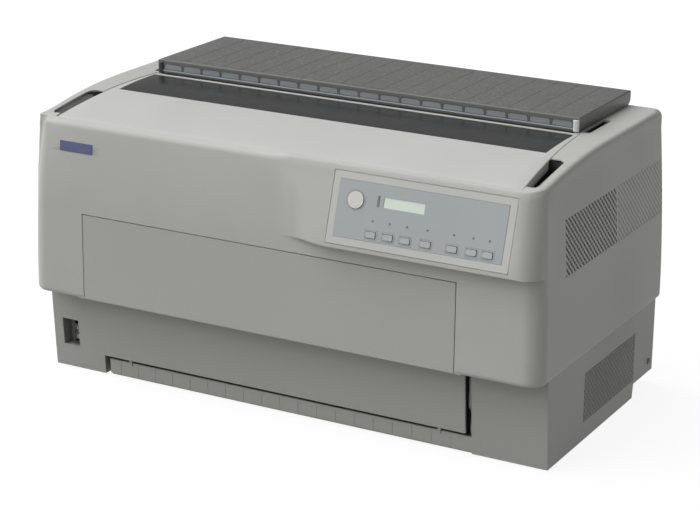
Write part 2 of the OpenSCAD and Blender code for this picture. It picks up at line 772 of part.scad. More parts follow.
// Carriage, print head and their belt drive
module carriage() color([0.15, 0.15, 0.16])
    translate([home_x, 0, 0]) {
        x = carriage_w / 2;
        difference() {
            union() {
                block([-x, x], [guide_c[0] - 14, guide_c[0] + 14], [guide_c[1] - 14, guide_c[1] + 14]);
                block([-x, x], [guide_c[0] - 20, nose_y - 14], [guide_c[1] + 13.9, guide_c[1] + 18]);
                for (s = [-x, x - 3])
                    block([s, s + 3], [guide_c[0] - 20, nose_y - 14], [guide_c[1] + 13.9, guide_c[1] + 40]);
                block([-12, 12], [drive_y + drive_r - 3, guide_c[0] - 13.9],
                    [drive_z - 4, drive_z + drive_h + 4]);
            }
            bar_x(shaft_r + run, -x - 1, x + 1, guide_c);
            block([-13, 13], [drive_y + drive_r - 0.4, drive_y + drive_r + belt_t + 0.6],
                [drive_z - 0.5, drive_z + drive_h + 0.5]);
        }
    }
module print_head() color([0.2, 0.2, 0.22])
    translate([home_x, 0, 0]) {
        z0 = guide_c[1] + 18;
        block([-22, 22], [guide_c[0] - 16, guide_c[0] + 14], [z0 + 0.05, z0 + 24]);
        for (i = [0:5]) block([-24, 24], [guide_c[0] - 14 + i * 5, guide_c[0] - 12 + i * 5],
            [z0 + 2, z0 + 28]);
        block([-7, 7], [guide_c[0] + 13, nose_y], [z0 + 2, z0 + 18]);
    }
module belt_loop(a, b, r, z) {
    d = b - a;
    len = norm(d);
    ang = atan2(d[1], d[0]);
    translate(a) rotate(ang) difference() {
        union() {
            circle(r = r + belt_t);
            translate([len, 0]) circle(r = r + belt_t);
            translate([0, -r - belt_t]) square([len, 2 * (r + belt_t)]);
        }
        circle(r = r);
        translate([len, 0]) circle(r = r);
        translate([0, -r]) square([len, 2 * r]);
    }
}
module carriage_belt() color([0.08, 0.08, 0.08])
    along_z(drive_z, drive_z + drive_h)
        belt_loop([-drive_x, drive_y], [drive_x, drive_y], drive_r + belt_gap / 2);
module drive_pulley(x) color([0.8, 0.8, 0.8]) {
    c = [x, drive_y];
    difference() {
        union() {
            bar_z(drive_r, drive_z - 0.5, drive_z + drive_h + 0.5, c);
            bar_z(drive_r + 2.5, drive_z - 2, drive_z - 0.5, c);
            bar_z(drive_r + 2.5, drive_z + drive_h + 0.5, drive_z + drive_h + 2, c);
        }
        bar_z(3.05, drive_z - 5, drive_z + drive_h + 5, c);
    }
}
module motor_pulley() drive_pulley(drive_x);
module idler_pulley() drive_pulley(-drive_x);
module carriage_motor() color([0.3, 0.3, 0.32]) {
    bar_z(17.5, 160, drive_z - 9, [drive_x, drive_y]);
    bar_z(3, drive_z - 10, drive_z + drive_h + 4, [drive_x, drive_y]);
    block([drive_x - 19, frame_x - frame_t - 0.05], [drive_y - 19, drive_y + 19], [drive_z - 9, drive_z - 6]);
    block([frame_x - frame_t - 3, frame_x - frame_t - 0.05], [drive_y - 19, drive_y + 19],
        [drive_z - 22, drive_z - 6]);
}

// Ribbon cartridge above the carriage, with the ribbon stretched before the platen
module ribbon_cartridge() color([0.1, 0.1, 0.11]) {
    z = [304, 322];
    hl = platen_hl + 16;
    difference() {
        block([-hl, hl], [-118, -52], z);
        block([-hl + 2, hl - 2], [-116, -54], [z[0] + 2, z[1] - 2]);
        bar_z(4.1, z[1] - 5, z[1] + 1, [-hl + 34, -85]);
    }
    for (s = [-1, 1]) {
        block([s > 0 ? hl - 12 : -hl, s > 0 ? hl : -hl + 12], [-52.1, nose_y + 1], [z[0], z[0] + 12]);
        block([s > 0 ? hl - 12 : -hl, s > 0 ? hl : -hl + 12], [nose_y - 8, nose_y + 1],
            [z[0] - 44, z[0] + 1]);
    }
    block([-hl + 5, hl - 5], [nose_y + 0.3, nose_y + 0.8], [262, 275]);
    // lugs that rest on the side frames
    both_sides() block([hl - 1, frame_x], [-18, nose_y - 1], [frame_top + 0.05, frame_top + 6]);
}
module ribbon_knob() color([0.2, 0.35, 0.6]) {
    c = [-platen_hl + 18, -85];
    bar_z(4, 318, 323, c);
    bar_z(11, 322.3, 325, c);
    translate([c[0], c[1], 324.9]) for (a = [0:60:300]) rotate(a) translate([-1, 0, 0]) cube([2, 10, 5]);
}

// Gear from its pitch circle, with slightly thinned teeth
module gear_outline(teeth) {
    p = gear_m * teeth / 2;
    thick = gear_m * PI / 2 - 0.42;
    tip = thick - 2 * 0.9 * gear_m * tan(20);
    foot = thick + 2 * 1.2 * gear_m * tan(20);
    circle(r = p - 1.2 * gear_m);
    for (i = [0:teeth - 1]) rotate(i * 360 / teeth) polygon([
        [p - 1.5 * gear_m, -foot / 2], [p + 0.9 * gear_m, -tip / 2], [p + 0.9 * gear_m, tip / 2],
        [p - 1.5 * gear_m, foot / 2]]);
}
module toothed_belt_pulley(x, c) {
    bar_x(pulley_r, x, x + pulley_w, c);
}
module platen() color([0.1, 0.1, 0.1]) {
    bar_x(platen_r, -platen_hl, platen_hl, platen_c);
    bar_x(shaft_r, rear_belt_x - 2, frame_x + 6, platen_c);
    along_x(gear_x, gear_x + pulley_w) translate(platen_c) gear_outline(platen_teeth);
    toothed_belt_pulley(front_belt_x, platen_c);
    toothed_belt_pulley(rear_belt_x, platen_c);
}
module feed_motor() color([0.3, 0.3, 0.32]) {
    bar_x(21, -frame_x + frame_t + 0.05, -frame_x + 46, feed_motor_c);
    bar_x(3, gear_x - 1, -frame_x + 5, feed_motor_c);
}
module feed_pinion() color([0.85, 0.82, 0.7])
    difference() {
        along_x(gear_x - 0.5, gear_x + pulley_w + 0.5) translate(feed_motor_c)
            rotate(180 / pinion_teeth) gear_outline(pinion_teeth);
        bar_x(3.05, gear_x - 5, -frame_x, feed_motor_c);
    }
module feed_belts() color([0.08, 0.08, 0.08]) {
    along_x(front_belt_x + 1, front_belt_x + pulley_w - 1) belt_loop(front_c, platen_c, pulley_r + belt_gap);
    along_x(rear_belt_x + 1, rear_belt_x + pulley_w - 1) belt_loop(rear_c, platen_c, pulley_r + belt_gap);
}
module tractor_shaft(c, belt_x) color([0.7, 0.72, 0.74]) {
    x = frame_x - frame_t - 0.5;
    block([-x, x], [c[0] - square / 2, c[0] + square / 2], [c[1] - square / 2, c[1] + square / 2]);
    bar_x(side_shaft_r, belt_x - 1, frame_x + 5, c);
    toothed_belt_pulley(belt_x, c);
}
module front_tractor_shaft() tractor_shaft(front_c, front_belt_x);
module rear_tractor_shaft() tractor_shaft(rear_c, rear_belt_x);

// Tractor unit in its own place: X across, the paper side towards -Y, shaft at the origin
module tractor_frame() {
    difference() {
        union() {
            for (x = [-tractor_hw, 5]) block([x, x + 9], [-15, 19], [-38, 22]);
            block([-tractor_hw, tractor_hw], [18.8, 22.4], [-38, 22]);
            for (z = [-38, 14]) block([tractor_hw - 1, tractor_hw + 7], [-23, -15 + 4], [z, z + 8]);
        }
        bar_x(8, -20, 20, [0, 0]);
        bar_x(5 + run, -20, 20, [0, rod_dz]);
        bar_z(1.6, -40, 30, [tractor_hw + 3.5, -20]);
    }
}
module pin_wheel() {
    difference() {
        union() {
            bar_x(pin_wheel_r - 3, -4.4, 4.4, [0, 0]);
            bar_x(pin_wheel_r - 1, -3.2, 3.2, [0, 0]);
            for (a = [0:36:324]) rotate([a, 0, 0]) translate([0, 0, pin_wheel_r - 5])
                cylinder(r = 1.5, h = 7);
        }
        block([-10, 10], [-square / 2 - 0.08, square / 2 + 0.08], [-square / 2 - 0.08, square / 2 + 0.08]);
    }
}
module tractor_flap() {
    difference() {
        union() {
            block([-10, tractor_hw + 4], [-24, -21.5], [-29.5, 13.5]);
            bar_z(3, -29.5, 13.5, [tractor_hw + 3.5, -20.7]);
        }
        block([-5, 5], [-30, -15], [-22, 12]);
    }
    bar_z(1.5, -37, 21, [tractor_hw + 3.5, -20]);
}
// Places a unit: the front pair faces forward and the rear pair backward, left and right mirrored
module at_tractor(side, front) {
    c = front ? front_c : rear_c;
    translate([side * tractor_x, c[0], c[1]]) mirror([0, front ? 0 : 1, 0]) mirror([side > 0 ? 0 : 1, 0, 0])
        children();
}
module tractor_part(side, front) color([0.2, 0.2, 0.22]) at_tractor(side, front) tractor_frame();
module wheel_part(side, front) color([0.85, 0.84, 0.8]) at_tractor(side, front) pin_wheel();
module flap_part(side, front) color([0.25, 0.25, 0.27]) at_tractor(side, front) tractor_flap();

supply_x = [256, 336];
supply_y = [-100, 100];
supply_z = [5, 78];
module power_supply() color([0.6, 0.6, 0.6]) {
    difference() {
        block(supply_x, supply_y, supply_z);
        block([supply_x[0] + 1.5, supply_x[1] - 1.5], [supply_y[0] + 1.5, supply_y[1] - 1.5],
              [supply_z[0] + 1.5, supply_z[1] - 1.5]);
        for (y = [supply_y[0] + 12 : 9 : supply_y[1] - 12])
            block([supply_x[0] + 12, supply_x[1] - 12], [y, y + 3], [supply_z[1] - 5, supply_z[1] + 1]);
    }
}
module main_board() color([0.1, 0.3, 0.18]) {
    block([-338, -250], [60, 192], [board_z, board_z + 1.6]);
    for (x = [[-331, -296], [-291, -274], [-269, -254]])
        block(x, [178, base_b - 1], [board_z + 1.5, board_z + 20]);
    for (x = [-330, -305, -280], y = [70, 100]) block([x, x + 18], [y, y + 18], [board_z + 1.5, board_z + 6]);
    for (x = [-333, -255], y = [66, 150]) bar_z(4, y > 120 ? 23 : 5, board_z + 0.1, [x, y]);
}
module fan_housing() color([0.1, 0.1, 0.1]) {
    difference() {
        block([fan_x, fan_x + fan_t], [fan_c[0] - fan_h, fan_c[0] + fan_h],
            [fan_c[1] - fan_h, fan_c[1] + fan_h]);
        bar_x(fan_r + 1.5, fan_x + 2, fan_x + fan_t + 1, fan_c);
        difference() {
            bar_x(fan_r, fan_x - 1, fan_x + 3, fan_c);
            bar_x(15, fan_x - 2, fan_x + 4, fan_c);
            for (a = [0, 90]) translate([fan_x - 2, fan_c[0], fan_c[1]]) rotate([a + 20, 0, 0])
                translate([0, -fan_r - 2, -2]) cube([6, 2 * fan_r + 4, 4]);
        }
    }
    bar_x(2, fan_x + 1, fan_x + 8, fan_c);
    // bracket down to the right side frame
    block([frame_x + 0.05, fan_x + 5], [fan_c[0] - 25, fan_c[0] + 25],
        [fan_c[1] - fan_h - 2.5, fan_c[1] - fan_h + 0.5]);
}
module fan_rotor() color([0.15, 0.15, 0.15])
    difference() {
        union() {
            bar_x(15, fan_x + 4, fan_x + 18, fan_c);
            for (a = [0:360 / 7:359]) translate([fan_x + 11, fan_c[0], fan_c[1]]) rotate([a, 0, 0])
                rotate([0, 0, 30]) translate([-5, -1, 12]) cube([10, 2, fan_r - 14]);
        }
        bar_x(2.05, fan_x, fan_x + 9, fan_c);
    }

lower_case();
upper_case();
badge_plate();
panel_bezel();
panel_overlay();
display_window();
panel_board();
pause_button();
panel_key(0);  // key_1
panel_key(1);  // key_2
panel_key(2);  // key_3
panel_key(3);  // key_4
panel_key(4);  // key_5
panel_key(5);  // key_6
panel_key(6);  // key_7
printer_cover();
cover_window();
paper_guide();
front_door();
lower_front_panel();
rear_cover();
switch_housing();
power_rocker();
power_inlet();
rubber_feet();
case_screws();
left_frame();
right_frame();
carriage_shaft();
carriage();
print_head();
ribbon_cartridge();
ribbon_knob();
carriage_motor();
motor_pulley();
idler_pulley();
carriage_belt();
platen();
feed_motor();
feed_pinion();
feed_belts();
front_tractor_shaft();
rear_tractor_shaft();
tractor_rods();
tractor_part(-1, true);  // front_left_tractor
wheel_part(-1, true);  // front_left_pin_wheel
flap_part(-1, true);  // front_left_flap
tractor_part(1, true);  // front_right_tractor
wheel_part(1, true);  // front_right_pin_wheel
flap_part(1, true);  // front_right_flap
tractor_part(-1, false);  // rear_left_tractor
wheel_part(-1, false);  // rear_left_pin_wheel
flap_part(-1, false);  // rear_left_flap
tractor_part(1, false);  // rear_right_tractor
wheel_part(1, false);  // rear_right_pin_wheel
flap_part(1, false);  // rear_right_flap
power_supply();
main_board();
fan_housing();
fan_rotor();
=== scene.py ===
"""Looks of a wide dot matrix printer: its shells, finishes, light and camera.

Sizes are millimetres in the machine's own frame, and meshes are scaled to metres when they are made.
"""

from __future__ import annotations

import json
import logging
import math
from dataclasses import dataclass
from enum import Enum
from typing import Callable, Iterable, Sequence

import bmesh
import bpy
import numpy as np
from mathutils import Matrix, Vector

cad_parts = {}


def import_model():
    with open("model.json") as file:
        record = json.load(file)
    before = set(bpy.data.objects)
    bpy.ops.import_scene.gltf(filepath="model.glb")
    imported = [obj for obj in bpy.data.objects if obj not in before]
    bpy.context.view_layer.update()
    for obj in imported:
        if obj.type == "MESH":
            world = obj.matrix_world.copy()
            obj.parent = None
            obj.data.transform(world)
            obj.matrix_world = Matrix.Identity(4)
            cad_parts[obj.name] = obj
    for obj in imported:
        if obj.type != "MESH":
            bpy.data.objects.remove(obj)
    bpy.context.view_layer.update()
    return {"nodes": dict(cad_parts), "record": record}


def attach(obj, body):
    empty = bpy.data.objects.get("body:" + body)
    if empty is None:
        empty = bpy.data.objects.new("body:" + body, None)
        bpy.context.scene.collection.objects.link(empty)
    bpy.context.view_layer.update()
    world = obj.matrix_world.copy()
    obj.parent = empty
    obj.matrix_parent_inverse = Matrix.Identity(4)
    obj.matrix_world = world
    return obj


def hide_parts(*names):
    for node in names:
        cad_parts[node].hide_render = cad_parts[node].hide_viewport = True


LOG = logging.getLogger("printer")
MM = 0.001
CREASE = 34.0
PLATE_CREASE = 40.0
ROUND_CREASE = 50.0
ROD_SIDES = 24
WELD_GAP = 0.00001
SCREEN_MAX = 255
MIX_COLOURS = (6, 7)
MIX_RESULT = 2
Colour = tuple[float, float, float]
Point = tuple[float, float, float]
Flat = tuple[float, float]
Face = tuple[int, ...]
Piece = bpy.types.Object
Socket = bpy.types.NodeSocket
SPECK_COLOUR: Colour = (0.9, 0.9, 0.88)
DUST_COLOUR: Colour = (0.62, 0.61, 0.57)
GLASS_DUST_COLOUR: Colour = (0.45, 0.45, 0.43)


def srgb(red: int, green: int, blue: int) -> Colour:
    """Turns a colour in screen values from 0 to 255 into the linear values that shaders use.

    Args:
        red: Red, from 0 to 255.
        green: Green, from 0 to 255.
        blue: Blue, from 0 to 255.

    Returns:
        The three linear values.
    """
    shares = [value / SCREEN_MAX for value in (red, green, blue)]
    return tuple(((share + 0.055) / 1.055) ** 2.4 if share > 0.04045 else share / 12.92 for share in shares)


class Blend(Enum):
    """How a shader math or mix node joins its two inputs."""

    ADD = "ADD"
    SUBTRACT = "SUBTRACT"
    MULTIPLY = "MULTIPLY"
    POWER = "POWER"
    MAXIMUM = "MAXIMUM"


class Side(Enum):
    """Side of the machine, as the sign of X."""

    LEFT = -1
    RIGHT = 1


class Graph:
    """A node tree with short ways to add and join nodes."""

    def __init__(self, tree: bpy.types.NodeTree) -> None:
        """Starts from an empty tree.

        Args:
            tree: The node tree to fill.
        """
        self.tree = tree
        tree.nodes.clear()

    def add(self, kind: str, **inputs: object) -> bpy.types.Node:
        """Adds a node.

        Args:
            kind: The node's type name without its ShaderNode prefix.
            **inputs: Values or sockets for the inputs, with underscores for spaces in their names.

        Returns:
            The new node.
        """
        prefix = "" if kind.startswith("NodeGroup") else "ShaderNode"
        node = self.tree.nodes.new(prefix + kind)
        self.feed(node, **inputs)
        return node

    def plug(self, socket: Socket, value: object) -> None:
        """Links a node's input to a socket, or sets its value.

        Args:
            socket: The input.
            value: A socket or a plain value.
        """
        if isinstance(value, Socket):
            self.tree.links.new(value, socket)
        else:
            socket.default_value = value

    def feed(self, node: bpy.types.Node, **inputs: object) -> None:
        """Sets or links a node's inputs, named as in add."""
        for name, value in inputs.items():
            self.plug(node.inputs[name.replace("_", " ")], value)

    def group(self, tree: bpy.types.NodeTree, **inputs: float) -> bpy.types.Node:
        """Adds a shared node group.

        Args:
            tree: The group's tree.
            **inputs: Its values.

        Returns:
            The new node.
        """
        node = self.add("Group")
        node.node_tree = tree
        self.feed(node, **inputs)
        return node

    def math(self, how: Blend, first: object, second: object, clamp: bool = False) -> Socket:
        """Joins two numbers.

        Args:
            how: The operation.
            first: A number or a socket.
            second: A number or a socket.
            clamp: Whether the result is kept between 0 and 1.

        Returns:
            The output socket.
        """
        node = self.tree.nodes.new("ShaderNodeMath")
        node.operation = how.value
        node.use_clamp = clamp
        for socket, value in zip(node.inputs, (first, second)):
            self.plug(socket, value)
        return node.outputs[0]

    def spread(self, value: Socket, low: float, high: float, to_low: float = 0.0,
               to_high: float = 1.0) -> Socket:
        """Maps a number from one range to another and clamps it.

        Args:
            value: The socket that is mapped.
            low: Start of its range.
            high: End of its range.
            to_low: What low becomes.
            to_high: What high becomes.

        Returns:
            The output socket.
        """
        node = self.add("MapRange", Value=value, From_Min=low, From_Max=high, To_Min=to_low, To_Max=to_high)
        return node.outputs["Result"]

    def noise(self, place: Socket, size: float, detail: float, rough: float) -> Socket:
        """Adds noise.

        Args:
            place: Socket of the position, in metres.
            size: Width of one blotch in metres.
            detail: Octaves of finer noise.
            rough: Strength of the finer octaves.

        Returns:
            The noise's value socket.
        """
        node = self.add("TexNoise", Vector=place, Scale=1 / size, Detail=detail, Roughness=rough)
        return node.outputs[0]

    def tint(self, amount: Socket, first: object, second: object) -> Socket:
        """Mixes two colours by an amount.

        Args:
            amount: A socket from 0 to 1.
            first: Colour or socket at 0.
            second: Colour or socket at 1.

        Returns:
            The colour socket.
        """
        node = self.tree.nodes.new("ShaderNodeMix")
        node.data_type = "RGBA"
        self.plug(node.inputs[0], amount)
        for number, colour in zip(MIX_COLOURS, (first, second)):
            self.plug(node.inputs[number], (*colour, 1.0) if isinstance(colour, tuple) else colour)
        return node.outputs[MIX_RESULT]


class Effects:
    """Shader node groups that several finishes share, each built once.

    Attributes:
        PEBBLES: Share of the coarse pebbles in the grain.
        UNEVEN: Range of the noise that becomes uneven tone.
        LEVEL: How far a face looks up where dust starts to settle, and where it settles fully.
        SPECK: Width of a speck of dust in metres.
        SPECKLED: Range of the noise that becomes dust.
        RUB: Width of a rubbed patch of edge in metres.
        RUBBED: Range of the noise that becomes rubbed edges.
        SHADE_GAIN: Gain of the painted shade in concave corners.
    """

    PEBBLES = 0.6
    UNEVEN: Flat = (0.3, 0.7)
    LEVEL: Flat = (0.55, 1.0)
    SPECK = 0.004
    SPECKLED: Flat = (0.46, 0.72)
    RUB = 0.009
    RUBBED: Flat = (0.35, 0.65)
    SHADE_GAIN = 14.0

    def __init__(self) -> None:
        """Builds the groups."""
        self.grain = self._grain()
        self.ageing = self._ageing()
        self.polish_and_shade = self._polish_and_shade()

    @staticmethod
    def _group(name: str, inputs: dict[str, float], outputs: Sequence[str]) -> Graph:
        """Makes a group with number sockets.

        Args:
            name: Name of the group.
            inputs: Its inputs with their defaults.
            outputs: Its outputs.

        Returns:
            The group's graph.
        """
        tree = bpy.data.node_groups.new(name, "ShaderNodeTree")
        kind = "NodeSocketFloat"
        for key, value in inputs.items():
            socket = tree.interface.new_socket(key, in_out="INPUT", socket_type=kind)
            socket.default_value = value
        for key in outputs:
            tree.interface.new_socket(key, in_out="OUTPUT", socket_type=kind)
        return Graph(tree)

    def _grain(self) -> bpy.types.NodeTree:
        """Fine pebbled texture of moulded plastic, as a height and a slight change of tone.

        Returns:
            The group's tree.
        """
        graph = self._group("Mould grain", {"Size": 0.0006, "Depth": 1.0}, ("Height", "Tone"))
        source = graph.add("NodeGroupInput")
        sink = graph.add("NodeGroupOutput")
        place = graph.add("TexCoord").outputs["Object"]
        scale = graph.math(Blend.POWER, source.outputs["Size"], -1.0)
        pebbles = graph.add("TexVoronoi", Vector=place, Scale=scale)
        fine = graph.add("TexNoise", Vector=place, Scale=scale, Detail=3.0)
        raised = graph.math(Blend.MULTIPLY, pebbles.outputs["Distance"], self.PEBBLES)
        height = graph.math(Blend.ADD, raised, fine.outputs[0])
        graph.feed(sink, Height=graph.math(Blend.MULTIPLY, height, source.outputs["Depth"]))
        graph.feed(sink, Tone=fine.outputs[0])
        return graph.tree

    def _ageing(self) -> bpy.types.NodeTree:
        """Broad uneven tone, and dust that settles on faces that look up.

        Returns:
            The group's tree.
        """
        graph = self._group("Ageing and dust", {"Blotch": 0.14, "Dust": 0.5}, ("Uneven", "Dust"))
        source = graph.add("NodeGroupInput")
        sink = graph.add("NodeGroupOutput")
        place = graph.add("TexCoord").outputs["Object"]
        scale = graph.math(Blend.POWER, source.outputs["Blotch"], -1.0)
        broad = graph.add("TexNoise", Vector=place, Scale=scale, Detail=4.0, Roughness=0.6)
        graph.feed(sink, Uneven=graph.spread(broad.outputs[0], *self.UNEVEN))
        up = graph.add("SeparateXYZ", Vector=graph.add("NewGeometry").outputs["Normal"]).outputs["Z"]
        settled = graph.spread(up, *self.LEVEL)
        specks = graph.spread(graph.noise(place, self.SPECK, 6.0, 0.7), *self.SPECKLED)
        amount = graph.math(Blend.MULTIPLY, settled, specks)
        graph.feed(sink, Dust=graph.math(Blend.MULTIPLY, amount, source.outputs["Dust"], clamp=True))
        return graph.tree

    def _polish_and_shade(self) -> bpy.types.NodeTree:
        """Polish along convex edges, and painted shade that darkens concave corners.

        Returns:
            The group's tree.
        """
        graph = self._group("Edge polish and corner shade", {"Width": 0.06}, ("Edge", "Grime"))
        source = graph.add("NodeGroupInput")
        sink = graph.add("NodeGroupOutput")
        place = graph.add("TexCoord").outputs["Object"]
        point = graph.add("NewGeometry").outputs["Pointiness"]
        over = graph.math(Blend.SUBTRACT, point, 0.5)
        scale = graph.math(Blend.POWER, source.outputs["Width"], -1.0)
        sharp = graph.math(Blend.MULTIPLY, over, scale, clamp=True)
        broken = graph.spread(graph.noise(place, self.RUB, 5.0, 0.65), *self.RUBBED)
        graph.feed(sink, Edge=graph.math(Blend.MULTIPLY, sharp, broken, clamp=True))
        # Painted shade: where the surface is concave, the colour is darkened.
        under = graph.math(Blend.SUBTRACT, 0.5, point)
        graph.feed(sink, Grime=graph.math(Blend.MULTIPLY, under, self.SHADE_GAIN, clamp=True))
        return graph.tree


@dataclass(frozen=True)
class Moulded:
    """A moulded, painted or cast finish.

    Attributes:
        name: Name of the material.
        colour: Its main colour.
        rough: Roughness.
        grain: Size of its texture in metres.
        bump: Depth of its texture in metres.
        uneven: How far its tone wanders.
        dust: Dust on faces that look up.
        metal: Metallic value.
        round_edge: Radius of its rounded edges in metres, which the shading shows.
        coat: Weight of a clear gloss.
        glow: Strength of a painted glow that makes a part look brighter, used for the display.
        blotch: Width of its uneven patches in metres.
        polish: How far its edges are rubbed light.
        corner_shade: How far its concave corners are darkened as painted shade.
        shade_tone: Tone of that painted shade, as a share of its colour.
        speck: How far its texture is speckled light.
        wander: How far its roughness wanders.
        dust_rough: Roughness that dust adds.
        coat_rough: Roughness of its gloss.
    """

    name: str
    colour: Colour
    rough: float = 0.5
    grain: float = 0.0007
    bump: float = 0.00004
    uneven: float = 0.05
    dust: float = 0.25
    metal: float = 0.0
    round_edge: float = 0.0006
    coat: float = 0.0
    glow: float = 0.0
    blotch: float = 0.16
    polish: float = 0.25
    corner_shade: float = 0.35
    shade_tone: float = 0.45
    speck: float = 0.05
    wander: float = 0.04
    dust_rough: float = 0.3
    coat_rough: float = 0.12

    def build(self, effects: Effects) -> bpy.types.Material:
        """Makes the material.

        Args:
            effects: The shared node groups.

        Returns:
            The material.
        """
        material = bpy.data.materials.new(self.name)
        material.use_nodes = True
        graph = Graph(material.node_tree)
        out = graph.add("OutputMaterial")
        grain = graph.group(effects.grain, Size=self.grain)
        ageing = graph.group(effects.ageing, Blotch=self.blotch, Dust=self.dust)
        polish_and_shade = graph.group(effects.polish_and_shade)
        darker = tuple(v * (1 - self.uneven) for v in self.colour)
        lighter = tuple(min(1.0, v * (1 + self.uneven)) for v in self.colour)
        base = graph.tint(ageing.outputs["Uneven"], darker, lighter)
        specks = graph.spread(grain.outputs["Tone"], *effects.UNEVEN, 0.0, self.speck)
        speckled = graph.tint(specks, base, SPECK_COLOUR)
        dusty = graph.tint(ageing.outputs["Dust"], speckled, DUST_COLOUR)
        rubbed = graph.math(Blend.MULTIPLY, polish_and_shade.outputs["Edge"], self.polish)
        polished = graph.tint(rubbed, dusty, lighter)
        # Painted shade: concave corners are mixed towards a darker tone of the colour.
        shade_amount = graph.math(Blend.MULTIPLY, polish_and_shade.outputs["Grime"], self.corner_shade)
        corner_shaded = graph.tint(shade_amount, polished, tuple(v * self.shade_tone for v in self.colour))
        wander = graph.spread(ageing.outputs["Uneven"], 0, 1, -self.wander, self.wander)
        rough = graph.math(Blend.ADD, wander, self.rough)
        dulled = graph.math(Blend.MULTIPLY, ageing.outputs["Dust"], self.dust_rough)
        rough = graph.math(Blend.ADD, rough, dulled, clamp=True)
        shader = graph.add("BsdfPrincipled", Base_Color=corner_shaded, Roughness=rough, Metallic=self.metal)
        shader.inputs["Coat Weight"].default_value = self.coat
        shader.inputs["Coat Roughness"].default_value = self.coat_rough
        # Painted light: the colour glows by the glow's strength.
        shader.inputs["Emission Color"].default_value = (*self.colour, 1.0)
        shader.inputs["Emission Strength"].default_value = self.glow
        bump = graph.add("Bump", Height=grain.outputs["Height"], Distance=self.bump, Strength=0.5)
        if self.round_edge > 0:
            rounded = graph.add("Bevel", Radius=self.round_edge)
            rounded.samples = 4
            graph.feed(bump, Normal=rounded.outputs["Normal"])
        graph.feed(shader, Normal=bump.outputs["Normal"])
        graph.feed(out, Surface=shader.outputs[0])
        return material


@dataclass(frozen=True)
class Smoked:
    """A clear sheet with a tint, such as a window or the pane of a display.

    Attributes:
        name: Name of the material.
        colour: Its tint.
        rough: Roughness.
        clear: Weight of the light that passes.
        blotch: Width of its uneven patches in metres.
        dust: Dust on faces that look up.
        dark: Tone of its darkest patches, as a share of its tint.
        haze: Shares of its roughness in its clearest and its dullest patches.
        index: Refractive index.
    """

    name: str
    colour: Colour
    rough: float
    clear: float
    blotch: float = 0.09
    dust: float = 0.12
    dark: float = 0.9
    haze: Flat = (0.8, 1.25)
    index: float = 1.49

    def build(self, effects: Effects) -> bpy.types.Material:
        """Makes the material.

        Args:
            effects: The shared node groups.

        Returns:
            The material.
        """
        material = bpy.data.materials.new(self.name)
        material.use_nodes = True
        graph = Graph(material.node_tree)
        out = graph.add("OutputMaterial")
        ageing = graph.group(effects.ageing, Blotch=self.blotch, Dust=self.dust)
        tone = graph.tint(ageing.outputs["Uneven"], tuple(v * self.dark for v in self.colour), self.colour)
        dusty = graph.tint(ageing.outputs["Dust"], tone, GLASS_DUST_COLOUR)
        rough = graph.spread(ageing.outputs["Uneven"], 0, 1, *(self.rough * share for share in self.haze))
        shader = graph.add("BsdfPrincipled", Base_Color=dusty, Roughness=rough)
        shader.inputs["Transmission Weight"].default_value = self.clear
        shader.inputs["IOR"].default_value = self.index
        graph.feed(out, Surface=shader.outputs[0])
        return material


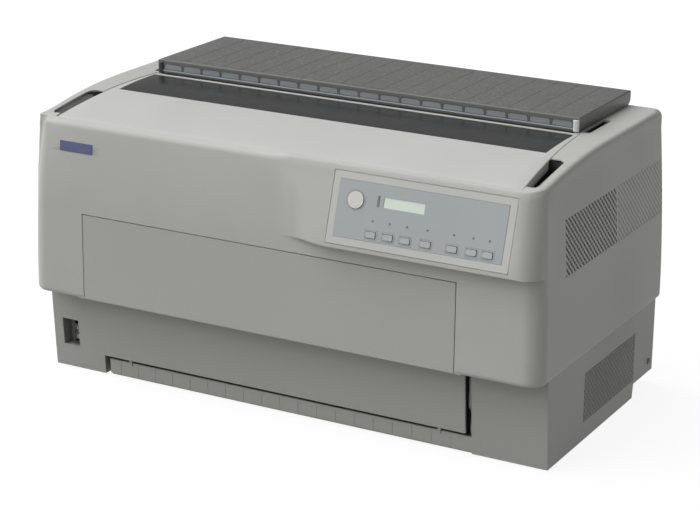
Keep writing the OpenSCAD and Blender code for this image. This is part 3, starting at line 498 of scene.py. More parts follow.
@dataclass(frozen=True)
class Finishes:
    """Every finish of the machine, by the record's slot names."""

    effects: Effects

    def build(self) -> dict[str, bpy.types.Material]:
        """Makes the materials.

        Returns:
            Material by slot name.
        """
        plastic = dict(rough=0.46, grain=0.0008, bump=0.00003, uneven=0.03, dust=0.12)
        printed = dict(rough=0.42, grain=0.0003, uneven=0.02)
        shaded = dict(rough=0.5, uneven=0.04, dust=0.05)
        touched = dict(uneven=0.02, dust=0.05)
        bright = dict(metal=1.0, dust=0.03)
        listed = (
            Moulded("casing_grey", srgb(187, 187, 182), **plastic),
            Moulded("base_grey", srgb(168, 168, 163), **plastic),
            Moulded("door_grey", srgb(180, 180, 175), **plastic),
            Moulded("cover_grey", srgb(194, 195, 192), **plastic),
            # Painted light: a lighter copy of the casing grey for the bezel, whose slope faces up.
            Moulded("bezel_lit_grey", srgb(197, 197, 193), **plastic),
            Smoked("smoked_window", srgb(50, 52, 51), 0.22, 0.3),
            Moulded("guide_dark", srgb(92, 93, 91), rough=0.4, uneven=0.06, dust=0.2),
            Moulded("badge_blue", srgb(72, 78, 128), rough=0.3, uneven=0.02, coat=0.3),
            Moulded("panel_film", srgb(170, 176, 178), dust=0.05, **printed),
            Moulded("print_grey", srgb(158, 164, 166), dust=0.03, **printed),
            # Painted light: the display glows so that it looks brighter.
            Moulded("display_green", srgb(186, 197, 186), rough=0.25, uneven=0.02, dust=0.02, coat=0.6,
                    glow=0.38),
            Moulded("lamp_dark", srgb(112, 120, 114), rough=0.2, uneven=0.02, dust=0.02, coat=0.5),
            Moulded("key_grey", srgb(180, 184, 184), rough=0.45, **touched),
            Moulded("button_white", srgb(217, 216, 211), rough=0.4, **touched),
            Moulded("mark_white", srgb(220, 220, 216), rough=0.4, uneven=0.01, dust=0.02, bump=0.00001),
            Moulded("clip_pale", srgb(216, 217, 215), rough=0.4, uneven=0.03, dust=0.05),
            # Painted reflection: the guide's fields are a lighter bluish grey than the guide.
            Moulded("field_reflection_grey", srgb(136, 143, 148), rough=0.3, uneven=0.05, dust=0.05, coat=0.2),
            Moulded("rail_pale", srgb(146, 152, 156), rough=0.32, uneven=0.03, dust=0.03, coat=0.2),
            # Painted shade: the plates behind the vents and the vent bars are darker greys that stand in for
            # shade.
            Moulded("vent_shade_grey", srgb(72, 72, 69), rough=0.6, uneven=0.04, dust=0.05),
            Moulded("bar_shade_grey", srgb(112, 112, 108), **shaded),
            # Painted shade: a darker copy of the casing grey for the floors of the finger recesses.
            Moulded("pocket_shade_grey", srgb(112, 112, 108), **shaded),
            Moulded("black_plastic", srgb(38, 38, 41), rough=0.45, dust=0.15),
            Moulded("black_rubber", srgb(27, 27, 28), rough=0.75, grain=0.0005, dust=0.1),
            Moulded("white_plastic", srgb(217, 213, 200), rough=0.4, dust=0.05),
            Moulded("knob_blue", srgb(52, 88, 143), rough=0.4, dust=0.05),
            Moulded("board_green", srgb(31, 90, 53), rough=0.35, grain=0.002, uneven=0.15, dust=0.1),
            Moulded("zinc_steel", srgb(176, 179, 181), rough=0.38, grain=0.004, bump=0.00002, uneven=0.12,
                    metal=0.9, dust=0.1),
            Moulded("bright_steel", srgb(196, 198, 201), rough=0.22, grain=0.0002, uneven=0.04, **bright),
            Moulded("pulley_alloy", srgb(200, 202, 204), rough=0.3, grain=0.0003, **bright),
            Moulded("dark_metal", srgb(58, 59, 62), rough=0.4, grain=0.001, metal=0.4, dust=0.1),
            Moulded("screw_dull", srgb(150, 150, 146), rough=0.5, grain=0.001, metal=0.2, dust=0.1),
        )
        return {finish.name: finish.build(self.effects) for finish in listed}


def make_object(name: str, points: Iterable[Sequence[float]], faces: Iterable[Sequence[int]],
                crease: float = CREASE) -> Piece:
    """Makes a mesh object from millimetres, with outward normals and smooth shading.

    Args:
        name: Name of the object.
        points: Its corners.
        faces: Corner numbers of each face.
        crease: Angle in degrees above which an edge stays sharp.

    Returns:
        The object, linked to the scene.
    """
    mesh = bpy.data.meshes.new(name)
    mesh.from_pydata([tuple(c * MM for c in p) for p in points], [], [tuple(f) for f in faces])
    work = bmesh.new()
    work.from_mesh(mesh)
    bmesh.ops.recalc_face_normals(work, faces=work.faces)
    work.to_mesh(mesh)
    work.free()
    made = bpy.data.objects.new(name, mesh)
    bpy.context.scene.collection.objects.link(made)
    smooth(made, crease)
    return made


def smooth(piece: Piece, crease: float) -> None:
    """Shades a mesh smooth below an angle in degrees."""
    piece.data.shade_smooth()
    piece.data.set_sharp_from_angle(angle=math.radians(crease))


def settle(piece: Piece) -> None:
    """Applies every modifier of a piece.

    Args:
        piece: The object.
    """
    graph = bpy.context.evaluated_depsgraph_get()
    mesh = bpy.data.meshes.new_from_object(piece.evaluated_get(graph))
    piece.modifiers.clear()
    piece.data = mesh
    smooth(piece, CREASE)


def cut(piece: Piece, *cutters: Piece, keep: bool = False) -> Piece:
    """Cuts solids out of a piece and removes them.

    Args:
        piece: The solid that is cut.
        *cutters: The solids that are taken out.
        keep: Whether the common part is kept instead.

    Returns:
        The piece.
    """
    for cutter in cutters:
        modifier = piece.modifiers.new("cut", "BOOLEAN")
        modifier.operation = "INTERSECT" if keep else "DIFFERENCE"
        modifier.solver = "EXACT"
        modifier.object = cutter
    settle(piece)
    for cutter in cutters:
        bpy.data.objects.remove(cutter)
    return piece


def prism(name: str, outline: Sequence[Flat], low: float, high: float, axis: int = 2) -> Piece:
    """Pushes an outline along an axis.

    Args:
        name: Name of the object.
        outline: Corners in the two other axes, in X, Y, Z order.
        low: Start along the axis.
        high: End along the axis.
        axis: 0, 1 or 2 for X, Y or Z.

    Returns:
        The solid.
    """
    count = len(outline)
    points = []
    for level in (low, high):
        for first, second in outline:
            corner = [first, second]
            corner.insert(axis, level)
            points.append(corner)
    faces = [tuple(range(count)), tuple(range(count, 2 * count))]
    faces += [(i, (i + 1) % count, count + (i + 1) % count, count + i) for i in range(count)]
    return make_object(name, points, faces)


def brick(name: str, xs: Flat, ys: Flat, zs: Flat) -> Piece:
    """Makes a box from its ranges along X, Y and Z."""
    outline = [(xs[0], ys[0]), (xs[1], ys[0]), (xs[1], ys[1]), (xs[0], ys[1])]
    return prism(name, outline, zs[0], zs[1])


def joined(name: str, pieces: Sequence[Piece]) -> Piece:
    """Joins objects into one.

    Args:
        name: Name of the result.
        pieces: The objects, which are used up.

    Returns:
        The joined object.
    """
    work = bmesh.new()
    for piece in pieces:
        piece.data.transform(piece.matrix_world)
        work.from_mesh(piece.data)
        bpy.data.objects.remove(piece)
    mesh = bpy.data.meshes.new(name)
    work.to_mesh(mesh)
    work.free()
    made = bpy.data.objects.new(name, mesh)
    bpy.context.scene.collection.objects.link(made)
    smooth(made, CREASE)
    return made


def soften(piece: Piece, radius: float, steps: int = 3, above: float = 30.0) -> Piece:
    """Rounds the edges of a piece with a bevel modifier.

    Args:
        piece: The object.
        radius: Radius in millimetres.
        steps: Segments of the round.
        above: Angle in degrees above which an edge is rounded.

    Returns:
        The piece.
    """
    weld = piece.modifiers.new("weld", "WELD")
    weld.merge_threshold = WELD_GAP
    bevel = piece.modifiers.new("bevel", "BEVEL")
    bevel.width = radius * MM
    bevel.segments = steps
    bevel.limit_method = "ANGLE"
    bevel.angle_limit = math.radians(above)
    normals = piece.modifiers.new("normals", "WEIGHTED_NORMAL")
    normals.keep_sharp = True
    return piece


def round_join(first: np.ndarray, second: np.ndarray, radius: float | np.ndarray) -> np.ndarray:
    """Joins two distance fields with a rounded outer edge.

    Args:
        first: Distances to the first form.
        second: Distances to the second form.
        radius: Radius of the edge.

    Returns:
        Distances to what the two have in common.
    """
    over_first, over_second = first + radius, second + radius
    inner = np.minimum(np.maximum(over_first, over_second), 0)
    return inner + np.hypot(np.maximum(over_first, 0), np.maximum(over_second, 0)) - radius


def soft_union(first: np.ndarray, second: np.ndarray, width: float) -> np.ndarray:
    """Joins two distance fields into one body with a filled inner corner."""
    share = np.clip(0.5 + 0.5 * (second - first) / width, 0, 1)
    return second * (1 - share) + first * share - width * share * (1 - share)


SKIN_MARGIN = 26.0
SKIN_REACH = 110.0
SKIN_HALVINGS = 26
SKIN_FAN = range(3, 46, 3)
SKIN_LINES = (
    (*range(-280, 1, 40), *range(16, 84, 6), *range(95, 305, 15), 304, 308, 312, 316, 320),
    tuple(range(-140, 170, 15)),
    (150, 170, 190, 210, 226, 236, 242, *range(244, 251), 252, 255, 262, 275, 290, 302),
)


@dataclass(frozen=True)
class CasingForm:
    """The outer form of the upper casing, as a distance in millimetres that is negative inside.

    Attributes:
        front: Depth of the front face.
        back: Depth of the rear face.
        half: Half the width at the seam.
        top_half: Half the width at the top.
        seam: Height of the seam.
        front_top: Height of the top above the front face.
        corner: Radius of the front corners.
        rear_corner: Radius of the rear corners.
        rise: How far the top rises towards the back.
        rise_start: Distance behind the front face at which it starts.
        rise_length: Depth over which it rises.
        rise_power: How soon it flattens.
        lean_start: Height above which the front leans back.
        lean_length: Height over which it does.
        lean_depth: How far it leans by then.
        taper_start: Height above which the sides draw in.
        taper_length: Height over which they do.
        taper_power: How late they do.
        taper_reach: Share of that height at which they stop.
        top_level: How steeply distance grows above the top, whose slope is slight.
        top_edges: Depths and radii of the upper edge.
        bulge: Depth of the swelling's foot.
        bulge_foot: Height of the swelling's foot.
        bulge_back: Depth behind which it ends.
        bulge_corner: Radius of its corner.
        under_drop: How far its underside lies below its foot.
        under_slope: Fall of its underside towards the back.
        under_level: How steeply distance grows below its underside.
        under_corner: Radius of its lower edge.
        left_level: How steeply distance grows left of it.
        left_corner: Radius of its left edge.
        slope: Angle of the panel's slope.
        panel: Range of the panel across.
        fade: Width over which the swelling runs out.
        fade_reach: Share of that width up to which its left face goes on.
        sinks: Depths, and how far the swelling is drawn in from the outline there.
        blend: Width of the rounding between casing and swelling.
    """

    front: float = -182.0
    back: float = 200.0
    half: float = 350.0
    top_half: float = 340.0
    seam: float = 115.0
    front_top: float = 341.6
    corner: float = 22.0
    rear_corner: float = 10.0
    rise: float = 17.4
    rise_start: float = 14.0
    rise_length: float = 172.0
    rise_power: float = 1.9
    lean_start: float = 226.0
    lean_length: float = 104.0
    lean_depth: float = 7.4
    taper_start: float = 135.0
    taper_length: float = 195.0
    taper_power: float = 1.6
    taper_reach: float = 1.03
    top_level: float = 0.99
    top_edges: tuple[tuple[float, ...], tuple[float, ...]] = ((-170, -120, 170, 190), (8, 5, 5, 10))
    bulge: float = -200.0
    bulge_foot: float = 250.0
    bulge_back: float = -60.0
    bulge_corner: float = 26.0
    under_drop: float = 3.4
    under_slope: float = 0.11
    under_level: float = 0.994
    under_corner: float = 1.2
    left_level: float = 0.93
    left_corner: float = 3.0
    slope: float = math.atan(26 / 87)
    panel: Flat = (83.0, 314.0)
    fade: float = 60.0
    fade_reach: float = 1.4
    sinks: tuple[Flat, Flat] = ((-160, -125), (0, 5))
    blend: float = 3.0

    def lean(self, z: np.ndarray) -> np.ndarray:
        """How far the front face leans back at a height."""
        return self.lean_depth * (np.clip(z - self.lean_start, 0, None) / self.lean_length) ** 2

    def half_width(self, z: np.ndarray) -> np.ndarray:
        """Half the width at a height."""
        share = np.clip((z - self.taper_start) / self.taper_length, 0, self.taper_reach)
        return self.half - (self.half - self.top_half) * share ** self.taper_power

    def top(self, y: np.ndarray) -> np.ndarray:
        """Height of the top.

        Args:
            y: Depths.

        Returns:
            One height a depth.
        """
        share = (y - self.front - self.rise_start) / self.rise_length
        curved = self.rise * (1 - (1 - np.clip(share, 0, 1)) ** self.rise_power)
        return self.front_top + curved + np.minimum(share, 0) * self.rise * self.rise_power

    def top_at(self, y: float) -> float:
        """Height of the top at one depth."""
        return float(self.top(np.array(y)))

    def bulge_distance(self, x: np.ndarray, y: np.ndarray, z: np.ndarray) -> np.ndarray:
        """Distance to the swelling that carries the control panel.

        Args:
            x: Places across.
            y: Depths.
            z: Heights.

        Returns:
            One distance a point.
        """
        face = -(y - self.bulge) * math.cos(self.slope) + (z - self.bulge_foot) * math.sin(self.slope)
        low = self.bulge_foot - self.under_drop - self.under_slope * (y - self.bulge)
        under = (low - z) * self.under_level
        share = np.clip((self.panel[0] - x) / self.fade, 0, self.fade_reach)
        ease = np.where(share < 1, share * share * (3 - 2 * share), 1 + (share - 1) * 2)
        left = (self.bulge + (self.front - self.bulge) * ease - y) * self.left_level
        body = round_join(face, x - self.half_width(z), self.bulge_corner)
        body = round_join(round_join(body, under, self.under_corner), left, self.left_corner)
        return np.maximum(body, y - self.bulge_back)

    def distance(self, p: np.ndarray, bottom: float, edge: float) -> np.ndarray:
        """Distance of points to the form.

        Args:
            p: Points, one a row.
            bottom: Height of the lower face.
            edge: Radius of the lower edge.

        Returns:
            One distance a point.
        """
        x, y, z = p.T
        side = np.abs(x) - self.half_width(z)
        front = self.front + self.lean(z) - y
        top = (z - self.top(y)) * self.top_level
        plan = round_join(round_join(front, side, self.corner), y - self.back, self.rear_corner)
        body = round_join(plan, top, np.interp(y, *self.top_edges))
        sunk = np.interp(y, *self.sinks)
        swelling = np.maximum(np.maximum(self.bulge_distance(x, y, z), side + sunk), top + sunk)
        body = soft_union(body, swelling, self.blend)
        return round_join(body, bottom - z, edge)

    def surface(self, name: str, inset: float, bottom: float, edge: float) -> Piece:
        """Makes the form's skin by sending rays out of an inner box.

        Args:
            name: Name of the object.
            inset: How far inside the form the skin lies.
            bottom: Height of its lower face.
            edge: Radius of its lower edge.

        Returns:
            The closed skin.
        """
        lows = np.array([-self.half, self.front, bottom]) + SKIN_MARGIN
        highs = np.array([self.half, self.back, self.front_top]) - SKIN_MARGIN
        fan = [SKIN_MARGIN * math.tan(math.radians(a)) for a in SKIN_FAN]
        lines = [
            np.array([*(low - f for f in reversed(fan)), low, *(v for v in inner if low + 1 < v < high - 1),
                      high, *(high + f for f in fan)])
            for low, high, inner in zip(lows, highs, SKIN_LINES)
        ]
        points, faces = box_skin(lines)
        start = np.clip(points, lows, highs)
        way = points - start
        way /= np.linalg.norm(way, axis=1)[:, None]
        near, far = np.zeros(len(points)), np.full(len(points), SKIN_REACH)
        for _ in range(SKIN_HALVINGS):
            middle = (near + far) / 2
            outside = self.distance(start + way * middle[:, None], bottom, edge) + inset > 0
            far = np.where(outside, middle, far)
            near = np.where(outside, near, middle)
        return make_object(name, start + way * near[:, None], faces)


def box_skin(lines: Sequence[np.ndarray]) -> tuple[np.ndarray, list[Face]]:
    """Makes the skin of a box from its grid lines.

    Args:
        lines: Grid lines along X, Y and Z.

    Returns:
        The points and the faces.
    """
    index: dict[tuple[int, int, int], int] = {}
    faces = []
    last = [len(line) - 1 for line in lines]

    def corner(key: tuple[int, int, int]) -> int:
        """Number of a grid corner."""
        return index.setdefault(key, len(index))

    for axis in range(3):
        first, second = (a for a in range(3) if a != axis)
        for end in (0, last[axis]):
            for i in range(last[first]):
                for j in range(last[second]):
                    face = []
                    for di, dj in ((0, 0), (1, 0), (1, 1), (0, 1)):
                        key = [0, 0, 0]
                        key[axis], key[first], key[second] = end, i + di, j + dj
                        face.append(corner(tuple(key)))
                    faces.append(tuple(face))
    points = np.array([[lines[a][key[a]] for a in range(3)] for key in index])
    return points, faces


EDGE_TURNS = (90, 68, 45, 22, 0)
PLATE_OVERLAP = 0.01


@dataclass(frozen=True)
class Lofted:
    """A thin plate over a four-sided plan whose top follows a height, with rounded edges and a rim.

    Attributes:
        name: Name of the piece.
        front: Depth of its front edge.
        back: Depth of its rear edge.
        front_half: Half its width at the front.
        back_half: Half its width at the back.
        height: Height of the top at each X and Y.
        rim: How far the rim reaches down.
        thick: Thickness of the plate.
        edge: Radius of its upper edge.
    """

    name: str
    front: float
    back: float
    front_half: float
    back_half: float
    height: Callable[[np.ndarray, np.ndarray], np.ndarray]
    rim: float
    thick: float
    edge: float

    def build(self, columns: int = 40, rows: int = 28) -> Piece:
        """Makes the piece as one closed mesh.

        Args:
            columns: Faces across.
            rows: Faces from front to back.

        Returns:
            The object.
        """
        angles = [math.radians(a) for a in EDGE_TURNS]
        profile = [(self.edge * (1 - math.cos(a)), self.edge * (1 - math.sin(a))) for a in angles]
        profile += [(0.0, self.rim), (self.thick, self.rim), (self.thick, self.thick)]
        border = [(i, 0) for i in range(columns)] + [(columns, j) for j in range(rows)]
        border += [(i, rows) for i in range(columns, 0, -1)] + [(0, j) for j in range(rows, 0, -1)]
        points: list[Point] = []
        faces: list[Face] = []

        def place(i: int, j: int, inset: float, drop: float) -> Point:
            """Point of the grid.

            Args:
                i: Its column.
                j: Its row.
                inset: How far it is moved in from the edges.
                drop: How far it is moved down.

            Returns:
                The point.
            """
            share = j / rows
            y = self.front + inset + (self.back - self.front - 2 * inset) * share
            part = (y - self.front) / (self.back - self.front)
            half = self.front_half + (self.back_half - self.front_half) * part - inset
            x = half * (2 * i / columns - 1)
            return (x, y, float(self.height(np.array(x), np.array(y))) - drop)

        def grid(inset: float, drop: float) -> dict[tuple[int, int], int]:
            """Adds a whole grid of points and its faces.

            Args:
                inset: How far it is moved in from the edges.
                drop: How far it is moved down.

            Returns:
                Number of each point by column and row.
            """
            start = len(points)
            keys = [(i, j) for i in range(columns + 1) for j in range(rows + 1)]
            points.extend(place(i, j, inset, drop) for i, j in keys)
            number = {key: start + k for k, key in enumerate(keys)}
            faces.extend((number[i, j], number[i + 1, j], number[i + 1, j + 1], number[i, j + 1])
                         for i in range(columns) for j in range(rows))
            return number

        top = grid(profile[0][0], profile[0][1])
        loop = [top[key] for key in border]
        for inset, drop in profile[1:]:
            start = len(points)
            points.extend(place(i, j, inset, drop) for i, j in border)
            ring = list(range(start, start + len(border)))
            faces.extend(strip(loop, ring))
            loop = ring
        under = grid(self.thick + PLATE_OVERLAP, self.thick)
        faces.extend(strip(loop, [under[key] for key in border]))
        return make_object(self.name, points, faces, PLATE_CREASE)


def strip(first: Sequence[int], second: Sequence[int]) -> list[Face]:
    """Faces between two closed loops of the same length."""
    count = len(first)
    return [(first[k], first[(k + 1) % count], second[(k + 1) % count], second[k]) for k in range(count)]


def loop_faces(count: int, loops: int, closed: bool = True) -> list[Face]:
    """Faces between neighbouring loops whose points are stored one loop after another.

    Args:
        count: Points of a loop.
        loops: Number of loops.
        closed: Whether the last loop joins the first one.

    Returns:
        The faces.
    """
    faces: list[Face] = []
    for k in range(loops if closed else loops - 1):
        after = (k + 1) % loops
        faces += strip(range(count * k, count * (k + 1)), range(count * after, count * (after + 1)))
    return faces


def oval(sides: int, centre: Flat, wide: float, high: float) -> list[Flat]:
    """Corners of a circle or an oval.

    Args:
        sides: Number of corners.
        centre: Its centre.
        wide: Half its first measure.
        high: Half its second measure.

    Returns:
        The corners.
    """
    turn = [2 * math.pi * k / sides for k in range(sides)]
    return [(centre[0] + wide * math.cos(a), centre[1] + high * math.sin(a)) for a in turn]


def rod(name: str, radius: float, xs: Flat, centre: Flat) -> Piece:
    """Round bar along X, from its ends and its axis."""
    return prism(name, oval(ROD_SIDES, centre, radius, radius), *xs, axis=0)


def ends(side: Side, inner: float, outer: float) -> Flat:
    """Range along X of a box on one side, from its distances to the middle."""
    return (inner, outer) if side is Side.RIGHT else (-outer, -inner)


def mirrored(side: Side, plan: Iterable[Flat]) -> list[Flat]:
    """Corners of a plan on one side, from those on the right."""
    return [(side.value * x, y) for x, y in plan]


@dataclass(frozen=True)
class Block:
    """A box that stands once, or on both sides of the machine.

    Attributes:
        name: Name of the solid.
        xs: Range across, counted from the middle where it stands on both sides.
        ys: Range in depth.
        zs: Range in height.
    """

    name: str
    xs: Flat
    ys: Flat
    zs: Flat

    def single(self) -> Piece:
        """Makes it once, where its ranges say."""
        return brick(self.name, self.xs, self.ys, self.zs)

    def pair(self) -> list[Piece]:
        """Makes it on both sides."""
        return [brick(self.name, ends(side, *self.xs), self.ys, self.zs) for side in Side]


@dataclass
class Machine:
    """What every sub-assembly needs: the materials and the casing's form."""

    materials: dict[str, bpy.types.Material]
    form: CasingForm

    def fit(self, piece: Piece, body: str, slot: str, *nodes: str, finish: str = "") -> None:
        """Dresses a piece, puts it on its body, hides the solids that it replaces and logs its body and
        slot.

        Args:
            piece: The object.
            body: The body that it moves with.
            slot: Its material slot.
            *nodes: The solids that it replaces.
            finish: Its material, where that is a variant of the slot's.
        """
        piece.data.materials.clear()
        piece.data.materials.append(self.materials[finish or slot])
        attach(piece, body)
        if nodes:
            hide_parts(*nodes)
        LOG.info("%s rides on %s in %s", piece.name, body, slot)

    def on_panel(self, x: float, v: float, w: float) -> Vector:
        """Place on the control panel's slope, in millimetres.

        Args:
            x: Place across the machine.
            v: Distance up the slope.
            w: Height above the slope.

        Returns:
            The place.
        """
        lean = self.form.slope
        y = self.form.bulge + v * math.sin(lean) - w * math.cos(lean)
        return Vector((x, y, self.form.bulge_foot + v * math.cos(lean) + w * math.sin(lean)))

    def panel_brick(self, name: str, xs: Flat, vs: Flat, ws: Flat) -> Piece:
        """Box that lies on the control panel's slope.

        Args:
            name: Name of the solid.
            xs: Range across.
            vs: Range up the slope.
            ws: Range above the slope.

        Returns:
            The solid.
        """
        points = [self.on_panel(x, v, w) for w in ws for x, v in
                  ((xs[0], vs[0]), (xs[1], vs[0]), (xs[1], vs[1]), (xs[0], vs[1]))]
        faces = [(0, 1, 2, 3), (4, 5, 6, 7), *strip(range(4), range(4, 8))]
        return make_object(name, points, faces)


@dataclass
class UpperCasing:
    """The upper casing with its openings, recesses and vents."""

    machine: Machine
    deck: float = 359.0
    wall: float = 3.0
    seam_edge: float = 6.0
    cavity_foot: float = 75.0
    cavity_edge: float = 1.0
    top_opening: Flat = (300.0, 383.0)
    top_plan: tuple[Flat, ...] = (
        (-315, -167), (315, -167), (299, 32.3), (290, 32.3), (290, 196.3), (-290, 196.3), (-290, 32.3),
        (-299, 32.3))
    openings: tuple[Block, ...] = (
        Block("door_opening", (-270, 244), (-230, -140), (105, 226.7)),
        Block("rear_opening", (-251, 251), (190, 210), (149, 331)))
    badge_step: Block = Block("badge_step", (-303.2, -254.8), (-190, -177.4), (302.8, 315.8))
    recess_plan: tuple[Flat, ...] = (
        (296.6, 39), (305, 39), (307, 41.5), (307, 103), (305, 107), (296.6, 107))
    recess_depth: float = 9.0
    grip_plan: tuple[tuple[float, float, int, int], ...] = (
        (312, -158.6, -1, -1), (322, -159, 0, -1), (326, -157, 1, 0), (328, -151, 1, 0),
        (326.4, -84, 1, 0), (324.6, -78, 1, 0), (319, -74, 0, 1), (306.6, -74, -1, 1))
    grip_cut: Flat = (334.0, 373.0)
    grip_depth: float = 35.0
    pocket_wall: float = 1.6
    pocket_base: float = 3.0
    slope_edges: Flat = (316.5, 327.6)
    slope_depths: tuple[float, ...] = (-157.5, -140.0, -120.0, -100.0, -78.0)
    slope_drop: float = 8.0
    slope_below: float = 2.4
    panel_slope: float = 90.8
    panel_cuts: tuple[tuple[str, float, float, float], ...] = (
        ("panel_step", 0.3, 2.7, 2.0), ("panel_hole", -4.0, 7.0, 14.0))
    panel_clear: float = 9.0
    vent_field: tuple[Flat, Flat] = ((-110.0, 42.0), (229.0, 297.0))
    rib_field: tuple[Flat, Flat] = ((46.0, 190.0), (229.0, 297.0))
    vent_pitch: float = 8.4
    vent_gap: float = 3.0
    vent_cut: Flat = (325.0, 360.0)
    rib_depth: float = 0.35
    bar_width: float = 4.0
    bar_depths: Flat = (330.0, 352.0)
    bar_inset: float = 0.5
    posts: tuple[Block, ...] = (
        Block("guide_post", (284, 292), (182.5, 191.5), (353, 368)),
        Block("cover_boss", (300.5, 306), (23.5, 31.5), (351.5, 357)),
        Block("rear_block", (251, 259), (192, 198.5), (320, 334)))
    fitting_edge: float = 0.5
    post_eye: Flat = (187.0, 368.0)
    post_radius: float = 4.5
    ledges: tuple[Block, ...] = (
        Block("door_block_left", (-278, -270), (-181, -173), (115.5, 129)),
        Block("door_block_right", (244, 252), (-181, -173), (115.5, 129)),
        Block("cover_ledge", (-300, 60), (-173, -158), (326.3, 329.3)))
    shade_linings: tuple[Block, ...] = (
        Block("recess_floor", (291, 309), (37, 109), (348, 350.2)),
        Block("recess_wall", (307, 309), (37, 109), (349, 356.6)),
        Block("recess_lining", (292, 296.4), (37, 109), (349, 358.2)))
    vent_shade_plate: Block = Block("vent_shade_plate", (330, 331.5), (-114, 46), (225, 301))

    def build(self) -> None:
        """Makes the shell and its fittings."""
        form = self.machine.form
        shell = form.surface("upper_casing", 0.0, form.seam, self.seam_edge)
        cut(shell, form.surface("cavity", self.wall, self.cavity_foot, self.cavity_edge))
        top = prism("top_opening", self.top_plan, *self.top_opening)
        cut(shell, top, *(block.single() for block in self.openings))
        cut(shell, *(self.grip(side) for side in Side), *(self.guide_recess(side) for side in Side))
        cut(shell, *(self.panel_cut(*each) for each in self.panel_cuts), self.badge_step.single())
        cut(shell, hatch("vents", self.vent_field, self.vent_pitch, self.vent_gap, self.vent_cut))
        ribs = hatch("ribs", self.rib_field, self.vent_pitch, self.vent_gap, self.vent_cut)
        cut(ribs, form.surface("rib_floor", self.rib_depth, form.seam, self.seam_edge))
        cut(shell, ribs)
        self.machine.fit(shell, "machine", "casing_grey", "upper_case")
        self.vent_bars()
        self.fittings()
        self.backs()

    def grip_outline(self, side: Side, grow: float = 0.0) -> list[Flat]:
        """Plan of the finger recess beside the cover, with rounded ends.

        Args:
            side: The side of the machine.
            grow: How far the plan is grown.

        Returns:
            Its corners.
        """
        return mirrored(side, [(x + grow * a, y + grow * b) for x, y, a, b in self.grip_plan])

    def grip(self, side: Side) -> Piece:
        """Solid of a finger recess."""
        return prism("grip", self.grip_outline(side), *self.grip_cut)

    def guide_recess(self, side: Side) -> Piece:
        """Solid of the slot beside the paper guide."""
        low, high = self.deck - self.recess_depth, self.deck + self.recess_depth
        return prism("guide_recess", mirrored(side, self.recess_plan), low, high)

    def panel_cut(self, name: str, grow: float, end: float, depth: float) -> Piece:
        """Hollow in the slope under the control panel's plate.

        Args:
            name: Name of the solid.
            grow: How far it reaches past the panel on both sides.
            end: Its distance from the slope's lower and upper ends.
            depth: How deep it reaches.

        Returns:
            The solid.
        """
        low, high = self.machine.form.panel
        along = (end, self.panel_slope - end)
        return self.machine.panel_brick(name, (low - grow, high + grow), along, (-depth, self.panel_clear))

    def vent_bars(self) -> None:
        """Bars across the slots of the vents, in a darker grey as painted shade."""
        form = self.machine.form
        bars = hatch("vent_bars", self.vent_field, self.vent_pitch, self.bar_width, self.bar_depths,
                     rising=True)
        cut(bars, form.surface("bar_face", self.bar_inset, form.seam, self.seam_edge), keep=True)
        # Painted shade: the bars get a darker copy of the casing grey.
        self.machine.fit(bars, "machine", "casing_grey", finish="bar_shade_grey")

    def fittings(self) -> None:
        """Posts, bosses and ledges inside the shell."""
        made = [piece for block in self.posts for piece in block.pair()]
        made += [block.single() for block in self.ledges]
        eyes = self.posts[0].xs
        made += [rod("post_eye", self.post_radius, ends(side, *eyes), self.post_eye) for side in Side]
        fittings = joined("casing_fittings", made)
        soften(fittings, self.fitting_edge, 2)
        self.machine.fit(fittings, "machine", "casing_grey")

    def backs(self) -> None:
        """Linings of the recesses, plates behind the vents and floors of the finger recesses, in dark tones
        that paint the shade in them.
        """
        # Painted shade: the recess linings and the finger recesses are black.
        dark = [piece for block in self.shade_linings for piece in block.pair()]
        dark += [self.pocket(side) for side in Side]
        shade_linings = joined("casing_shade_linings", dark)
        self.machine.fit(shade_linings, "machine", "casing_grey", finish="black_plastic")
        # Painted shade: dark plates behind the vents stand in for the shade inside.
        plates = joined("vent_shade_plates", self.vent_shade_plate.pair())
        self.machine.fit(plates, "machine", "casing_grey", finish="vent_shade_grey")
        # Painted shade: the finger recess floors get a darker copy of the casing grey.
        slopes = joined("grip_slopes", [self.pocket_slope(side) for side in Side])
        self.machine.fit(slopes, "machine", "casing_grey", finish="pocket_shade_grey")

    def pocket(self, side: Side) -> Piece:
        """Walls and deep floor of a finger recess, in black as painted shade.

        Args:
            side: The side of the machine.

        Returns:
            The solid.
        """
        outer, inner = self.grip_outline(side, self.pocket_wall), self.grip_outline(side)
        count = len(outer)
        floor = self.deck - self.grip_depth
        points: list[Point] = []
        for outline, low in ((outer, floor - self.pocket_base), (inner, floor)):
            points += [(x, y, self.machine.form.top_at(y) - self.pocket_wall) for x, y in outline]
            points += [(x, y, low) for x, y in outline]
        top_out, low_out, top_in, low_in = (range(k * count, (k + 1) * count) for k in range(4))
        faces = strip(top_out, low_out) + strip(top_in, top_out) + strip(low_in, top_in)
        faces += [tuple(low_out), tuple(low_in)]
        return make_object("pocket", points, faces)

    def pocket_slope(self, side: Side) -> Piece:
        """Grey floor of a finger recess, which rises to its outer edge, in a darker grey as painted shade.

        Args:
            side: The side of the machine.

        Returns:
            The solid.
        """
        inner, outer = self.slope_edges
        points: list[Point] = []
        for y in self.slope_depths:
            top = self.machine.form.top_at(y) - self.slope_below
            corners = ((inner, top - self.slope_drop), (outer, top), (outer, top - 2 * self.slope_drop))
            points += [(side.value * x, y, z) for x, z in corners]
        count = len(points)
        faces = [(0, 1, 2), (count - 3, count - 2, count - 1), *loop_faces(3, len(self.slope_depths), False)]
        return make_object("pocket_slope", points, faces)


